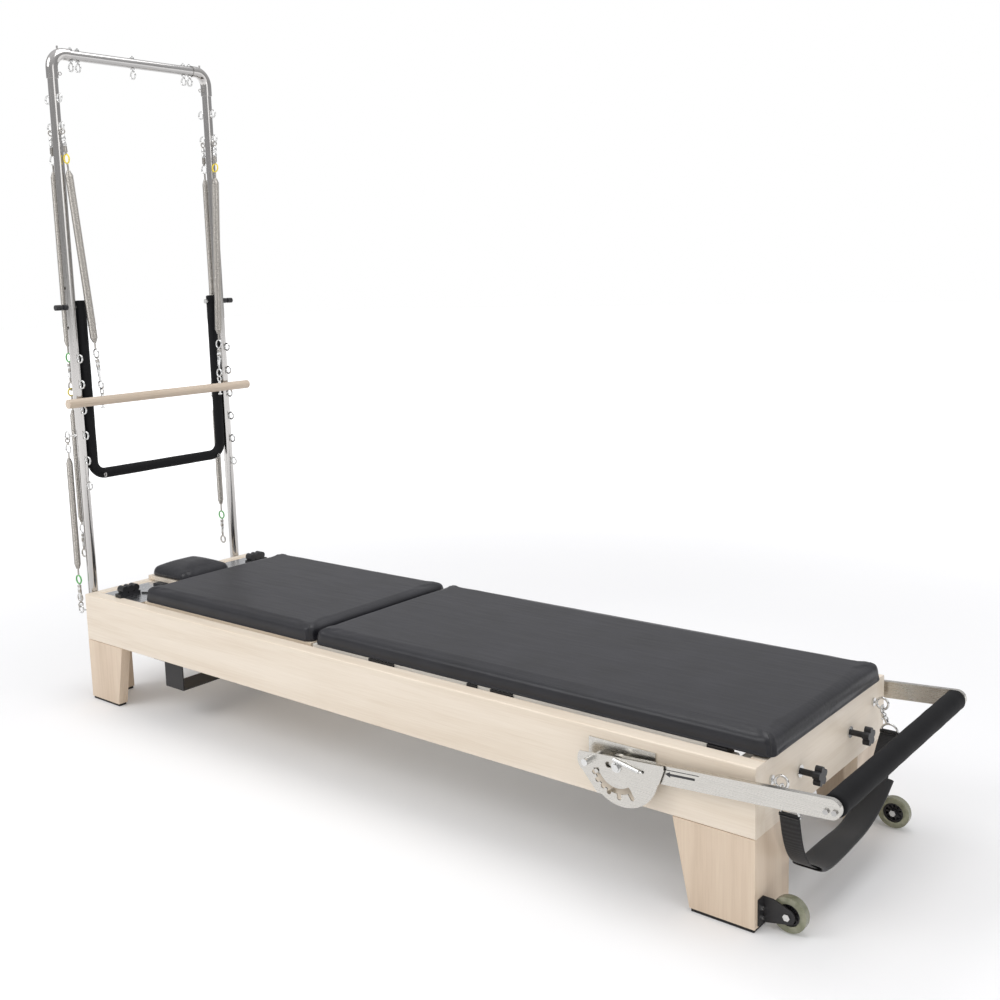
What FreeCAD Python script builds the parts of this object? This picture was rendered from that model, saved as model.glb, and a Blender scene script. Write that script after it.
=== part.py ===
import FreeCAD, Part
import Sketcher
import math
import os
import re

# Pilates reformer with a tower and a mat conversion.
# X runs from the head end to the foot end, Y across, Z up, the floor at Z 0.
# Sizes and stations are in the sheet. A station is measured from the head face of the frame,
# and head_end is where that face stands on X.

SIZES = {
    "head_end": -1247,
    # frame
    "frame_length": 2400,
    "frame_width": 700,
    "rail_thick": 45,
    "rail_base": 205,
    "rail_top": 360,
    "rail_edge": 4,
    "board_thick": 33,
    "foot_pad": 8,
    "leg_low": 150,
    "leg_high": 190,
    "head_leg_end": 142,
    "foot_leg_end": 162,
    "pad_inset": 3,
    # deck at the head end
    "deck_start": 33,
    "deck_end": 250,
    "deck_thick": 18.5,
    "deck_plate": 1.5,
    "plate_start": 48,
    "cleat_station": 138,
    "cleat_inner": 237,
    "cleat_length": 78,
    "cleat_width": 30,
    "cleat_base": 12,
    "cleat_lobe": 12,
    "rope_wire": 2.5,
    "rope_guide_start": 96,
    "rope_guide_length": 43,
    # tracks, ledges and spring bar inside the rails
    "track_start": 60,
    "track_length": 2280,
    "track_top": 274,
    "track_wall": 4,
    "track_depth": 20,
    "track_drop": 12,
    "track_rise": 26,
    "ledge_start": 1100,
    "ledge_length": 1150,
    "bar_side": 25,
    "bar_base": 235,
    "spring_bar_at": 2240,
    "rest_bar_at": 1760,
    "main_spring": 12,
    "cradle_start": 350,
    "cradle_width": 90,
    "cradle_bottom": 100,
    "cradle_wall": 4,
    "cradle_flange": 40,
    # tower
    "post_station": -20,
    "post_spread": 305,
    "post_radius": 16,
    "post_foot": 215,
    "post_head": 2050,
    "bar_height": 2105,
    "bend": 45,
    "elbow_radius": 18.75,
    "elbow_drop": 34,
    "elbow_reach": 17,
    "socket_radius": 20,
    "socket_height": 30,
    "bracket_wall": 3,
    # eyebolts
    "eye": 12.5,
    "eye_wire": 2.75,
    "long_shank": 2.5,
    "eye_foot": 10,
    "eye_bore": 2.85,
    "eye_head": -57,
    "eye_long": -82,
    "nut_radius": 7,
    "nut_height": 4,
    "strap_eye": 14,
    "strap_wire": 3,
    "strap_eye_at": 2423,
    "strap_eye_y": 279,
    "strap_eye_z": 312,
    "end_eye_at": -45,
    "end_eye_y": 341,
    "end_eye_z": 300,
    # push-through bar
    "swing_height": 1308,
    "push_spread": 269,
    "push_tube": 12,
    "push_grip": 18,
    "push_low": 751,
    "push_bend": 45,
    "push_top": 1312,
    "pin_radius": 5,
    # roll-down bar
    "dowel_station": 30,
    "dowel_height": 1000,
    "dowel_radius": 15,
    "dowel_reach": 375,
    "dowel_eye_y": 245,
    # hanging springs
    "spring_core": 9.4,
    "roll_core": 11.2,
    # carriage
    "carriage_start": 262,
    "carriage_length": 778,
    "carriage_reach": 298,
    "carriage_base": 346,
    "ply": 18,
    "pad_reach": 306,
    "pad_height": 48,
    "pad_corner": 32,
    "pad_round": 18,
    "carriage_pad_start": 250,
    "carriage_pad_length": 794,
    "wheel_radius": 25,
    "wheel_width": 16,
    "wheel_gap": 0.05,
    "wheel_outer": 299,
    "axle_wall_y": 279,
    # headrest
    "headrest_start": 13,
    "headrest_length": 207,
    "headrest_reach": 105,
    "headrest_base": 361,
    "headrest_ply": 14,
    "headrest_height": 50,
    "headrest_corner": 30,
    "headrest_round": 24,
    "hinge_station": 240,
    "hinge_height": 368,
    "hinge_pin": 3,
    "hinge_knuckle": 6.5,
    # mat conversion
    "mat_start": 1048,
    "mat_length": 1372,
    "mat_board_length": 1217,
    # footbar
    "pivot_station": 2092,
    "pivot_height": 296.5,
    "pivot_radius": 6,
    "arm_length": 475,
    "arm_depth": 42,
    "arm_thick": 12,
    "arm_inner": 364,
    "bar_station": 2566,
    "bar_level": 328.5,
    "bar_radius": 16,
    "grip_radius": 25,
    "grip_reach": 356,
    "back_plate": 3,
    "front_plate": 3,
    "front_inner": 380,
    "disc_radius": 91.5,
    "lobe_radius": 31,
    "lobe_reach": 71,
    "channel": 6.5,
    "follower": 55,
    "running_fit": 0.05,
    "side_fit": 0.3,
    # transport wheels
    "caster_station": 2454,
    "caster_height": 41,
    "caster_spread": 294,
    "caster_radius": 38,
    "caster_width": 26,
    "caster_hub": 24,
    "axle_inner": 276,
    "cheek_y": 312,
    "cheek_wall": 3,
    "cheek_end": 17,
    # stop knobs
    "knob_y": 137,
    "knob_height": 281,
    # foot strap
    "webbing_width": 45,
    "webbing_thick": 3,
    "sleeve_width": 66,
    "sleeve_thick": 12,
    "strap_top": 240,
    "strap_low": 98,
}

EYE_HEIGHTS = (1964, 1877, 1141, 1057, 973, 889, 805, 721)
DOUBLE_EYES = (1964, 1877)
LONG_EYE_HEIGHT = 1005
SIDE_EYE_HEIGHT = 889
POST_HOLES = (1242, 1370)
CROSSBAR_EYES = (-235, -209, 0, 209, 235)
CARRIAGE_AXLES = (330, 980)
MAIN_SPRING_ROWS = (-160, -80, 0, 80, 160)
MAT_BLOCKS = ((1268, 90), (1607, 31), (1681, 67))
NOTCHES = ((204, 69), (220, 70), (236, 69), (252, 71), (275, 75), (302, 79))
FIT = 0.5

V = FreeCAD.Vector
TURN = {
    "z": FreeCAD.Rotation(),
    "x": FreeCAD.Rotation(V(0, 1, 0), 90),
    "y": FreeCAD.Rotation(V(1, 0, 0), -90),
    "upright": FreeCAD.Rotation(V(1, 0, 0), 90),
    "bend_up": FreeCAD.Rotation(V(0, -1, 0), V(0, 0, 1), V(-1, 0, 0), "XYZ"),
    "bend_down": FreeCAD.Rotation(V(0, -1, 0), V(0, 0, -1), V(1, 0, 0), "XYZ"),
}

doc = FreeCAD.newDocument("pilates_reformer")
sheet = doc.addObject("Spreadsheet::Sheet", "Dims")
for row, (alias, value) in enumerate(SIZES.items(), start=1):
    sheet.set(f"A{row}", alias)
    sheet.set(f"B{row}", str(value))
    sheet.setAlias(f"B{row}", alias)
doc.recompute()

NODES = []


def size(alias):
    return float(sheet.get(alias))


def bound(expr):
    """The expression with each sheet alias written in full."""
    return re.sub(r"[a-z][a-z_]+", lambda m: "Dims." + m[0] if m[0] in SIZES else m[0], str(expr))


def bind(obj, prop, expr):
    obj.setExpression(prop, bound(expr))


def place(obj, at, turn="z"):
    obj.Placement = FreeCAD.Placement(V(0, 0, 0), TURN[turn] if isinstance(turn, str) else turn)
    for axis, expr in zip("xyz", at):
        bind(obj, f"Placement.Base.{axis}", expr)
    return obj


def primitive(kind, at, turn="z", **sizes):
    obj = doc.addObject(kind, "Piece")
    for prop, expr in sizes.items():
        bind(obj, prop, expr)
    return place(obj, at, turn)


def box(length, width, height, at, turn="z"):
    return primitive("Part::Box", at, turn, Length=length, Width=width, Height=height)


def rod(radius, length, at, turn="z"):
    return primitive("Part::Cylinder", at, turn, Radius=radius, Height=length)


def cone(low, high, length, at, turn="z"):
    return primitive("Part::Cone", at, turn, Radius1=low, Radius2=high, Height=length)


def ball(radius, at):
    return primitive("Part::Sphere", at, Radius=radius)


def ring(radius, wire, at, turn="z", sweep=360):
    return primitive("Part::Torus", at, turn, Radius1=radius, Radius2=wire, Angle3=sweep)


def nut(at, turn, radius="nut_radius", height="nut_height"):
    obj = primitive("Part::Prism", at, turn, Circumradius=radius, Height=height)
    obj.Polygon = 6
    return obj


def strut(start, end, radius):
    """A round bar between two points given as (station, y, z)."""
    run = V(*end) - V(*start)
    obj = doc.addObject("Part::Cylinder", "Piece")
    bind(obj, "Radius", radius)
    obj.Height = run.Length
    return place(obj, (f"head_end + {start[0]}", start[1], start[2]), FreeCAD.Rotation(V(0, 0, 1), run))


def prism(points, height, at=(0, 0, 0), turn="z"):
    """A sketched polygon raised along the sketch's own Z."""
    sketch = doc.addObject("Sketcher::SketchObject", "Outline")
    for start, end in zip(points, points[1:] + points[:1]):
        sketch.addGeometry(Part.LineSegment(V(*start, 0), V(*end, 0)), False)
    obj = doc.addObject("Part::Extrusion", "Piece")
    obj.Base = sketch
    obj.DirMode = "Normal"
    obj.Solid = True
    bind(obj, "LengthFwd", height)
    return place(obj, at, turn)


def fuse(*parts):
    obj = doc.addObject("Part::MultiFuse", "Joined")
    obj.Shapes = list(parts)
    return obj


def cut(base, *tools):
    obj = doc.addObject("Part::Cut", "Trimmed")
    obj.Base = base
    obj.Tool = tools[0] if len(tools) == 1 else fuse(*tools)
    return obj


def mirrored(source, normal=(0, 1, 0), base=("0", "0", "0")):
    obj = doc.addObject("Part::Mirroring", "Mirrored")
    obj.Source = source
    obj.Normal = V(*normal)
    for axis, expr in zip("xyz", base):
        bind(obj, f"Base.{axis}", expr)
    return obj


def rounded(source, radius, edges):
    obj = doc.addObject("Part::Fillet", "Rounded")
    obj.Base = source
    obj.Edges = [(edge, radius, radius) for edge in edges]
    return obj


def node(label, *parts):
    """The finished sub-part: one object, or several side by side in a compound."""
    obj = parts[0]
    if len(parts) > 1:
        obj = doc.addObject("Part::Compound", "Group")
        obj.Links = list(parts)
    obj.Label = label
    NODES.append(obj)
    return obj


def pair(label, near):
    """The near piece and its mirror image on the far side, as one sub-part."""
    return node(label, near, mirrored(near))


# PartDesign helpers


def new_body(label, at):
    body = doc.addObject("PartDesign::Body", "Body")
    body.Label = label
    for axis, expr in zip("xyz", at):
        bind(body, f"Placement.Base.{axis}", expr)
    return body


def rectangle(body, role, width, height, corner=(0, 0)):
    """A rectangle sketch on one of the body's planes, its lowest corner at corner."""
    sketch = body.newObject("Sketcher::SketchObject", "Sketch")
    plane = next(f for f in body.Origin.OriginFeatures if f.Role == role)
    sketch.AttachmentSupport = (plane, "")
    sketch.MapMode = "FlatFace"
    bind(sketch, "AttachmentOffset.Base.x", corner[0])
    bind(sketch, "AttachmentOffset.Base.y", corner[1])
    corners = ((0, 0), (50, 0), (50, 50), (0, 50))
    for start, end in zip(corners, corners[1:] + corners[:1]):
        sketch.addGeometry(Part.LineSegment(V(*start, 0), V(*end, 0)), False)
    for edge in range(4):
        sketch.addConstraint(Sketcher.Constraint("Coincident", edge, 2, (edge + 1) % 4, 1))
    for edge, kind in ((0, "Horizontal"), (2, "Horizontal"), (1, "Vertical"), (3, "Vertical")):
        sketch.addConstraint(Sketcher.Constraint(kind, edge))
    sketch.addConstraint(Sketcher.Constraint("Coincident", 0, 1, -1, 1))
    across = sketch.addConstraint(Sketcher.Constraint("DistanceX", 0, 1, 0, 2, 50))
    bind(sketch, f"Constraints[{across}]", width)
    up = sketch.addConstraint(Sketcher.Constraint("DistanceY", 1, 1, 1, 2, 50))
    bind(sketch, f"Constraints[{up}]", height)
    return sketch


def raised(body, sketch, length, reverse=False):
    pad = body.newObject("PartDesign::Pad", "Pad")
    pad.Profile = sketch
    pad.Reversed = reverse
    bind(pad, "Length", length)
    sketch.Visibility = False
    doc.recompute()
    return pad


def eased(body, base, radius, wanted):
    """Rounds each edge of base for which wanted(edge) is true."""
    names = [f"Edge{i}" for i, edge in enumerate(base.Shape.Edges, start=1) if wanted(edge)]
    fillet = body.newObject("PartDesign::Fillet", "Fillet")
    fillet.Base = (base, names)
    bind(fillet, "Radius", radius)
    doc.recompute()
    return fillet


def runs_along(edge, axis):
    ends = edge.BoundBox
    spans = {"x": ends.XLength, "y": ends.YLength, "z": ends.ZLength}
    return all(span < 0.01 for name, span in spans.items() if name != axis)


def board(label, length, width, height, at, edge=None):
    """A plain board, its long edges eased when edge is given."""
    body = new_body(label, at)
    pad = raised(body, rectangle(body, "XY_Plane", length, width), height)
    if edge:
        eased(body, pad, edge, lambda e: runs_along(e, "x"))
    NODES.append(body)
    return body


def cushion(label, length, width, height, at, corner, top):
    """A pad with rounded plan corners and a rounded top edge."""
    body = new_body(label, at)
    pad = raised(body, rectangle(body, "XY_Plane", length, width), height)
    plan = eased(body, pad, corner, lambda e: runs_along(e, "z"))
    level = max(v.Z for v in plan.Shape.Vertexes)
    eased(body, plan, top, lambda e: e.BoundBox.ZMin > level - 0.01)
    NODES.append(body)
    return body


TAPER_MARGIN = 5


def leg(label, face, inward, end_width):
    """An L-shaped corner leg: a tapered side board and an end board, outer corner at face."""
    body = new_body(label, (face, "-frame_width / 2", "foot_pad"))
    height = "rail_base - foot_pad"
    if inward > 0:
        side = rectangle(body, "XZ_Plane", "leg_high", height)
        end = rectangle(body, "YZ_Plane", end_width, height)
    else:
        side = rectangle(body, "XZ_Plane", "leg_high", height, ("-leg_high", 0))
        end = rectangle(body, "YZ_Plane", end_width, height)
    raised(body, side, "board_thick", reverse=True)
    raised(body, end, "board_thick", reverse=inward < 0)
    taper = body.newObject("Sketcher::SketchObject", "Taper")
    plane = next(f for f in body.Origin.OriginFeatures if f.Role == "XZ_Plane")
    taper.AttachmentSupport = (plane, "")
    taper.MapMode = "FlatFace"
    top = size("rail_base") - size("foot_pad")
    wedge = ((size("leg_low"), 0), (size("leg_high"), top), (size("leg_high") + TAPER_MARGIN, 0))
    points = [V(inward * u, v, 0) for u, v in wedge]
    for start, stop in zip(points, points[1:] + points[:1]):
        taper.addGeometry(Part.LineSegment(start, stop), False)
    pocket = body.newObject("PartDesign::Pocket", "Taper_cut")
    pocket.Profile = taper
    pocket.Type = 1
    pocket.Midplane = True
    doc.recompute()
    NODES.append(body)
    return body


# ---- frame ----

rail = board(
    "side_rail_near",
    "frame_length",
    "rail_thick",
    "rail_top - rail_base",
    ("head_end", "-frame_width / 2", "rail_base"),
    edge="rail_edge",
)
node("side_rail_far", mirrored(rail))



def crossboard(station):
    return box(
        "board_thick",
        "frame_width - 2 * rail_thick",
        "rail_top - rail_base",
        (station, "rail_thick - frame_width / 2", "rail_base"),
    )


foot_board_at = "head_end + frame_length - board_thick"
knob_bore = "pin_radius + running_fit"
knob_bores = [
    rod(knob_bore, "board_thick + 2", (f"{foot_board_at} - 1", f"{side} * knob_y", "knob_height"), "x")
    for side in (-1, 1)
]
node("head_crossboard", crossboard("head_end"))
node("foot_crossboard", cut(crossboard(foot_board_at), *knob_bores))

head_leg = leg("leg_head_near", "head_end", 1, "head_leg_end")
node("leg_head_far", mirrored(head_leg))
foot_leg = leg("leg_foot_near", "head_end + frame_length", -1, "foot_leg_end")
node("leg_foot_far", mirrored(foot_leg))


def rubber_foot(corner, inward, end_width):
    """The rubber under a leg, set in from its faces. corner is the frame's end face."""
    low = f"{corner} + pad_inset" if inward > 0 else f"{corner} - leg_low + pad_inset"
    end = f"{corner} + pad_inset" if inward > 0 else f"{corner} - board_thick + pad_inset"
    side_y = "pad_inset - frame_width / 2"
    return fuse(
        box("leg_low - 2 * pad_inset", "board_thick - 2 * pad_inset", "foot_pad", (low, side_y, 0)),
        box("board_thick - 2 * pad_inset", f"{end_width} - 2 * pad_inset", "foot_pad", (end, side_y, 0)),
    )


head_foot = rubber_foot("head_end", 1, "head_leg_end")
foot_foot = rubber_foot("head_end + frame_length", -1, "foot_leg_end")
node("foot_pads", head_foot, mirrored(head_foot), foot_foot, mirrored(foot_foot))

# ---- deck ----

board(
    "head_deck",
    "deck_end - deck_start",
    "frame_width - 2 * rail_thick",
    "deck_thick",
    ("head_end + deck_start", "rail_thick - frame_width / 2", "rail_top - deck_plate - deck_thick"),
)
node(
    "deck_plate",
    box(
        "deck_end - plate_start",
        "frame_width - 2 * rail_thick",
        "deck_plate",
        ("head_end + plate_start", "rail_thick - frame_width / 2", "rail_top - deck_plate"),
    ),
)

cleat_start = "head_end + cleat_station - cleat_width / 2"
cleat_outer = "-cleat_inner - cleat_length"
LOBE_OFFSETS = (15, 36, 57)
lobe_base = "rail_top + cleat_base"
lobes = []
for offset in LOBE_OFFSETS:
    y = f"-cleat_inner - {offset}"
    lobes.append(rod("cleat_lobe", "cleat_width", (cleat_start, y, f"{lobe_base} + cleat_lobe"), "x"))
    lobes.append(box("cleat_width", 16, "cleat_lobe", (cleat_start, f"{y} - 8", lobe_base)))
cleat = fuse(
    box("cleat_width", "cleat_length", "cleat_base", (cleat_start, cleat_outer, "rail_top")),
    *lobes,
)
guide = box("rope_guide_length", 30, 7, ("head_end + rope_guide_start", -146, "rail_top"))
node("rope_cleats", cleat, mirrored(cleat), guide)

ROPE_ROUTE = ((154, -234), (172, -222), (206, -214), (240, -212))
BEND_SHARE = 0.45


def cord_path(points):
    """Straight runs joined by tangent arcs, each as large as its two runs allow."""
    edges = []
    start = points[0]
    for before, corner, after in zip(points, points[1:], points[2:]):
        back = (before - corner).normalize()
        onward = (after - corner).normalize()
        half_turn = (math.pi - back.getAngle(onward)) / 2
        reach = BEND_SHARE * min((before - corner).Length, (after - corner).Length)
        radius = reach / math.tan(half_turn)
        print(f"rope bend radius {radius:.1f}")
        centre = corner + (back + onward).normalize() * (radius / math.cos(half_turn))
        middle = centre + (corner - centre).normalize() * radius
        edges.append(Part.LineSegment(start, corner + back * reach).toShape())
        edges.append(Part.Arc(corner + back * reach, middle, corner + onward * reach).toShape())
        start = corner + onward * reach
    edges.append(Part.LineSegment(start, points[-1]).toShape())
    return Part.Wire(edges)


rope_level = size("rail_top") + size("rope_wire") + 0.2
rope_line = cord_path([V(size("head_end") + s, y, rope_level) for s, y in ROPE_ROUTE])
rope_start = rope_line.Edges[0]
rope_section = Part.Wire(
    Part.Circle(rope_start.valueAt(0), rope_start.tangentAt(0), size("rope_wire")).toShape()
)
rope = doc.addObject("Part::Feature", "Rope")
rope.Shape = rope_line.makePipeShell([rope_section], True, True)
rope_volume = rope_line.Length * math.pi * size("rope_wire") ** 2
print(f"rope length {rope_line.Length:.1f}, volume ratio {rope.Shape.Volume / rope_volume:.4f}")
node("cleat_rope", rope)

# ---- inside the rails ----

inner = "frame_width / 2 - rail_thick"
track = fuse(
    box(
        "track_length",
        "track_wall",
        "track_drop + track_rise",
        ("head_end + track_start", f"-({inner})", "track_top - track_drop"),
    ),
    box(
        "track_length",
        "track_depth",
        "track_wall",
        ("head_end + track_start", f"track_wall - ({inner})", "track_top - track_wall"),
    ),
)
ledge = box(
    "ledge_length",
    "track_depth",
    "track_wall - running_fit",
    ("head_end + ledge_start", f"-({inner})", "carriage_base - track_wall"),
)
node("carriage_tracks", track, mirrored(track), ledge, mirrored(ledge))

bars = [
    box("bar_side", f"2 * ({inner})", "bar_side", (f"head_end + {station}", f"-({inner})", "bar_base"))
    for station in ("spring_bar_at", "rest_bar_at")
]
node("spring_bar", *bars)


def main_spring(y):
    start = size("rest_bar_at") + size("bar_side")
    end = size("spring_bar_at")
    level = size("bar_base") + size("bar_side") / 2
    return fuse(
        strut((start, y, level), (start + 20, y, level), 3),
        strut((start + 15, y, level), (end - 15, y, level), "main_spring"),
        strut((end - 20, y, level), (end, y, level), 3),
    )


node("main_springs", *[main_spring(y) for y in MAIN_SPRING_ROWS])

cradle_near = [
    box(
        "cradle_width",
        "cradle_wall",
        "rail_base - cradle_bottom",
        ("head_end + cradle_start", f"-({inner}) + cradle_wall", "cradle_bottom"),
    ),
    box(
        "cradle_width",
        "cradle_flange + cradle_wall",
        "cradle_wall",
        ("head_end + cradle_start", f"-({inner}) - cradle_flange + cradle_wall", "rail_base - cradle_wall"),
    ),
]
cradle_strip = box(
    "cradle_width",
    f"2 * ({inner} - cradle_wall)",
    "cradle_wall",
    ("head_end + cradle_start", f"-({inner}) + cradle_wall", "cradle_bottom"),
)
node("storage_cradle", fuse(*cradle_near, cradle_strip, *[mirrored(piece) for piece in cradle_near]))

# ---- tower ----

post_x = "head_end + post_station"
near_post_y = "-post_spread"
blank_post = rod("post_radius", "post_head - post_foot", (post_x, near_post_y, "post_foot"))
bore_start = f"{post_x} - 1.5 * post_radius"
post_tools = [rod("eye_bore", "3 * post_radius", (bore_start, near_post_y, z), "x") for z in EYE_HEIGHTS]
post_tools.append(
    rod("pin_radius", "3 * post_radius", (post_x, "-post_spread - 1.5 * post_radius", "swing_height"), "y")
)
post_tools += [
    rod("pin_radius", "post_radius", (post_x, "-post_spread - 1.5 * post_radius", z), "y") for z in POST_HOLES
]
near_post = cut(blank_post, *post_tools)
long_bore = rod("eye_bore", "3 * post_radius", (bore_start, "post_spread", LONG_EYE_HEIGHT), "x")
node("tower_posts", near_post, cut(mirrored(near_post), long_bore))

bend_y = "-post_spread + bend"
bend_z = "bar_height - bend"
elbow = cut(
    fuse(
        ring("bend", "elbow_radius", (post_x, bend_y, bend_z), "bend_up", 90),
        rod("elbow_radius", "elbow_drop", (post_x, near_post_y, f"{bend_z} - elbow_drop")),
        rod("elbow_radius", "elbow_reach", (post_x, bend_y, "bar_height"), "y"),
        rod(3, 8, (post_x, "-post_spread + 24", "bar_height + 16")),
    ),
    rod("post_radius", "post_head - 1900", (post_x, near_post_y, 1900)),
    rod("post_radius", "elbow_reach + 1", (post_x, f"{bend_y} + 4", "bar_height"), "y"),
)
inner_eye = fuse(
    ring(5, 1.5, (post_x, "-post_spread + elbow_radius + 9", 2044), "x"),
    rod(1.5, 6, (post_x, "-post_spread + elbow_radius - 0.5", 2044), "y"),
)
elbow_near = fuse(elbow, inner_eye)
pair("tower_elbows", elbow_near)

bar_end = "post_spread - bend - 4"
crossbar = rod("post_radius", f"2 * ({bar_end})", (post_x, f"-({bar_end})", "bar_height"), "y")
bore_low = "bar_height - 1.5 * post_radius"
bar_bores = [rod("eye_bore", "3 * post_radius", (post_x, y, bore_low)) for y in CROSSBAR_EYES]
node("tower_crossbar", cut(crossbar, *bar_bores))


def crossbar_eyebolt(y):
    return fuse(
        ring("eye", "eye_wire", (post_x, y, "bar_height - 38"), "y"),
        rod("eye_wire", "post_radius + 46.5 - eye", (post_x, y, "bar_height - 38 + eye")),
        nut((post_x, y, "bar_height + post_radius"), "z"),
        nut((post_x, y, "bar_height - post_radius - 4"), "z", height=4),
    )


node("crossbar_eyebolts", *[crossbar_eyebolt(y) for y in CROSSBAR_EYES])

wall_x = "head_end - bracket_wall"
stirrup = cut(
    fuse(
        box("bracket_wall", 50, 135, (wall_x, "-post_spread - 25", 215)),
        box(
            "2 * post_radius + 4",
            "2 * socket_radius",
            4,
            ("head_end - 2 * post_radius - 4", "-post_spread - socket_radius", "post_foot - 4"),
        ),
        *[rod("socket_radius", "socket_height", (post_x, near_post_y, z)) for z in (225, 305)],
    ),
    rod("post_radius", 150, (post_x, near_post_y, "post_foot")),
)
pair("post_brackets", stirrup)


def post_eyebolt(side, z):
    """An eyebolt through a post, its eye on the foot side and a nut or a second eye on the head side."""
    y = f"{side} * post_spread"
    back = "post_station - post_radius"
    start = "eye_head + eye" if z in DOUBLE_EYES else f"{back} - nut_height"
    seated_eye = cut(
        fuse(
            nut(("head_end + post_station + post_radius - 2", y, z), "x", radius=5, height=2),
            ring("eye", "eye_wire", ("head_end + eye_foot", y, z), "y"),
        ),
        rod("post_radius + running_fit", 60, (post_x, y, z - 30)),
    )
    parts = [
        seated_eye,
        nut((f"head_end + {back} - nut_height", y, z), "x"),
        rod("eye_wire", f"eye_foot - eye - ({start})", (f"head_end + {start}", y, z), "x"),
    ]
    if z in DOUBLE_EYES:
        parts.append(ring("eye", "eye_wire", ("head_end + eye_head", y, z), "y"))
    return fuse(*parts)


bolts = [post_eyebolt(side, z) for side in (-1, 1) for z in EYE_HEIGHTS]
long_bolt = fuse(
    ring("eye", "eye_wire", ("head_end + eye_long", "post_spread", LONG_EYE_HEIGHT), "y"),
    rod(
        "long_shank",
        "post_station + post_radius + 7 - eye_long - eye",
        ("head_end + eye_long + eye", "post_spread", LONG_EYE_HEIGHT),
        "x",
    ),
    nut(("head_end + post_station - post_radius - nut_height", "post_spread", LONG_EYE_HEIGHT), "x"),
    nut(("head_end + post_station + post_radius", "post_spread", LONG_EYE_HEIGHT), "x", height=4),
)
post_axis = V(size("post_station"), -size("post_spread"), SIDE_EYE_HEIGHT)
side_eye = V(size("end_eye_at"), -size("end_eye_y"), SIDE_EYE_HEIGHT)
rim = side_eye + V(size("eye") + 1, 0, 0)
outward = (rim - post_axis).normalize()
side_bolt = fuse(
    ring("eye", "eye_wire", ("head_end + end_eye_at", "-end_eye_y", SIDE_EYE_HEIGHT), "y"),
    cut(
        fuse(
            strut(tuple(post_axis), tuple(rim), "eye_wire"),
            strut(tuple(post_axis + outward * 10), tuple(post_axis + outward * 21), 6),
        ),
        rod("post_radius", 60, (post_x, near_post_y, SIDE_EYE_HEIGHT - 30)),
    ),
)
node("post_eyebolts", *bolts, long_bolt, side_bolt)

end_eye = fuse(
    ring("eye", "eye_wire", ("head_end + end_eye_at", "-end_eye_y", "end_eye_z"), "y"),
    rod("eye_wire", "-end_eye_at - eye", ("head_end + end_eye_at + eye", "-end_eye_y", "end_eye_z"), "x"),
    rod(7, 3, ("head_end - 3", "-end_eye_y", "end_eye_z"), "x"),
)
foot_face = "head_end + frame_length"
strap_shank = "strap_eye_at - frame_length - strap_eye"
strap_eye = fuse(
    ring("strap_eye", "strap_wire", ("head_end + strap_eye_at", "-strap_eye_y", "strap_eye_z"), "y"),
    rod("strap_wire", strap_shank, (foot_face, "-strap_eye_y", "strap_eye_z"), "x"),
    rod(10, 4, (foot_face, "-strap_eye_y", "strap_eye_z"), "x"),
)
node("frame_eyebolts", end_eye, mirrored(end_eye), strap_eye, mirrored(strap_eye))

pin_inner = 242
pin_outer = 346
pop_pin = cut(
    fuse(
        rod("pin_radius", pin_outer - pin_inner, (post_x, -pin_outer, "swing_height"), "y"),
        rod(8, 6, (post_x, -pin_inner - 6, "swing_height"), "y"),
        rod(9, 14, (post_x, -334, "swing_height"), "y"),
        rod(6, 10, (post_x, -342, "swing_height"), "y"),
        rod(9, 20, (post_x, -pin_outer - 16, "swing_height"), "y"),
    ),
    cut(
        rod("post_radius", 80, (post_x, near_post_y, "swing_height - 40")),
        rod("pin_radius", 80, (post_x, "-post_spread - 40", "swing_height"), "y"),
    ),
)
pair("pop_pins", pop_pin)

# ---- push-through bar ----


def u_bar(radius, top):
    """A U of round bar hanging from the two pivots."""
    bend_level = "push_low + push_bend"
    side = [
        rod(radius, f"{top} - push_low - push_bend", (post_x, "-push_spread", bend_level)),
        ring("push_bend", radius, (post_x, "-push_spread + push_bend", bend_level), "bend_down", 90),
    ]
    span = rod(radius, "2 * (push_spread - push_bend)", (post_x, "-push_spread + push_bend", "push_low"), "y")
    return side + [mirrored(piece) for piece in side] + [span]


def push_bores(fit):
    reach = "push_spread + 30"
    return rod(f"pin_radius + {fit}", f"2 * ({reach})", (post_x, f"-({reach})", "swing_height"), "y")


PUSH_EYE_Y = 240


def push_shank(side):
    return rod(2, "push_grip + 2", (post_x, side * PUSH_EYE_Y, "push_low - 2"), "x")


push_eyes = [
    ring(6, 2, (f"{post_x} + push_grip + 7", side * PUSH_EYE_Y, "push_low - 2"), "y") for side in (-1, 1)
]
push_shanks = [push_shank(side) for side in (-1, 1)]
push_tubes = cut(fuse(*u_bar("push_tube", "push_top + 10")), push_bores("running_fit"))
push_frame = fuse(push_tubes, *push_shanks, *push_eyes)
node("push_through_frame", push_frame)
domes = [ball("push_grip", (post_x, f"{side} * push_spread", "push_top")) for side in (-1, 1)]
push_padding = cut(
    fuse(*u_bar("push_grip", "push_top"), *domes),
    fuse(*u_bar("push_tube", "push_top + 10")),
    push_bores(0.4),
    *[push_shank(side) for side in (-1, 1)],
)
node("push_through_grip", push_padding)

# ---- hanging springs ----

ROOM_FOR_BARREL = 60


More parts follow.
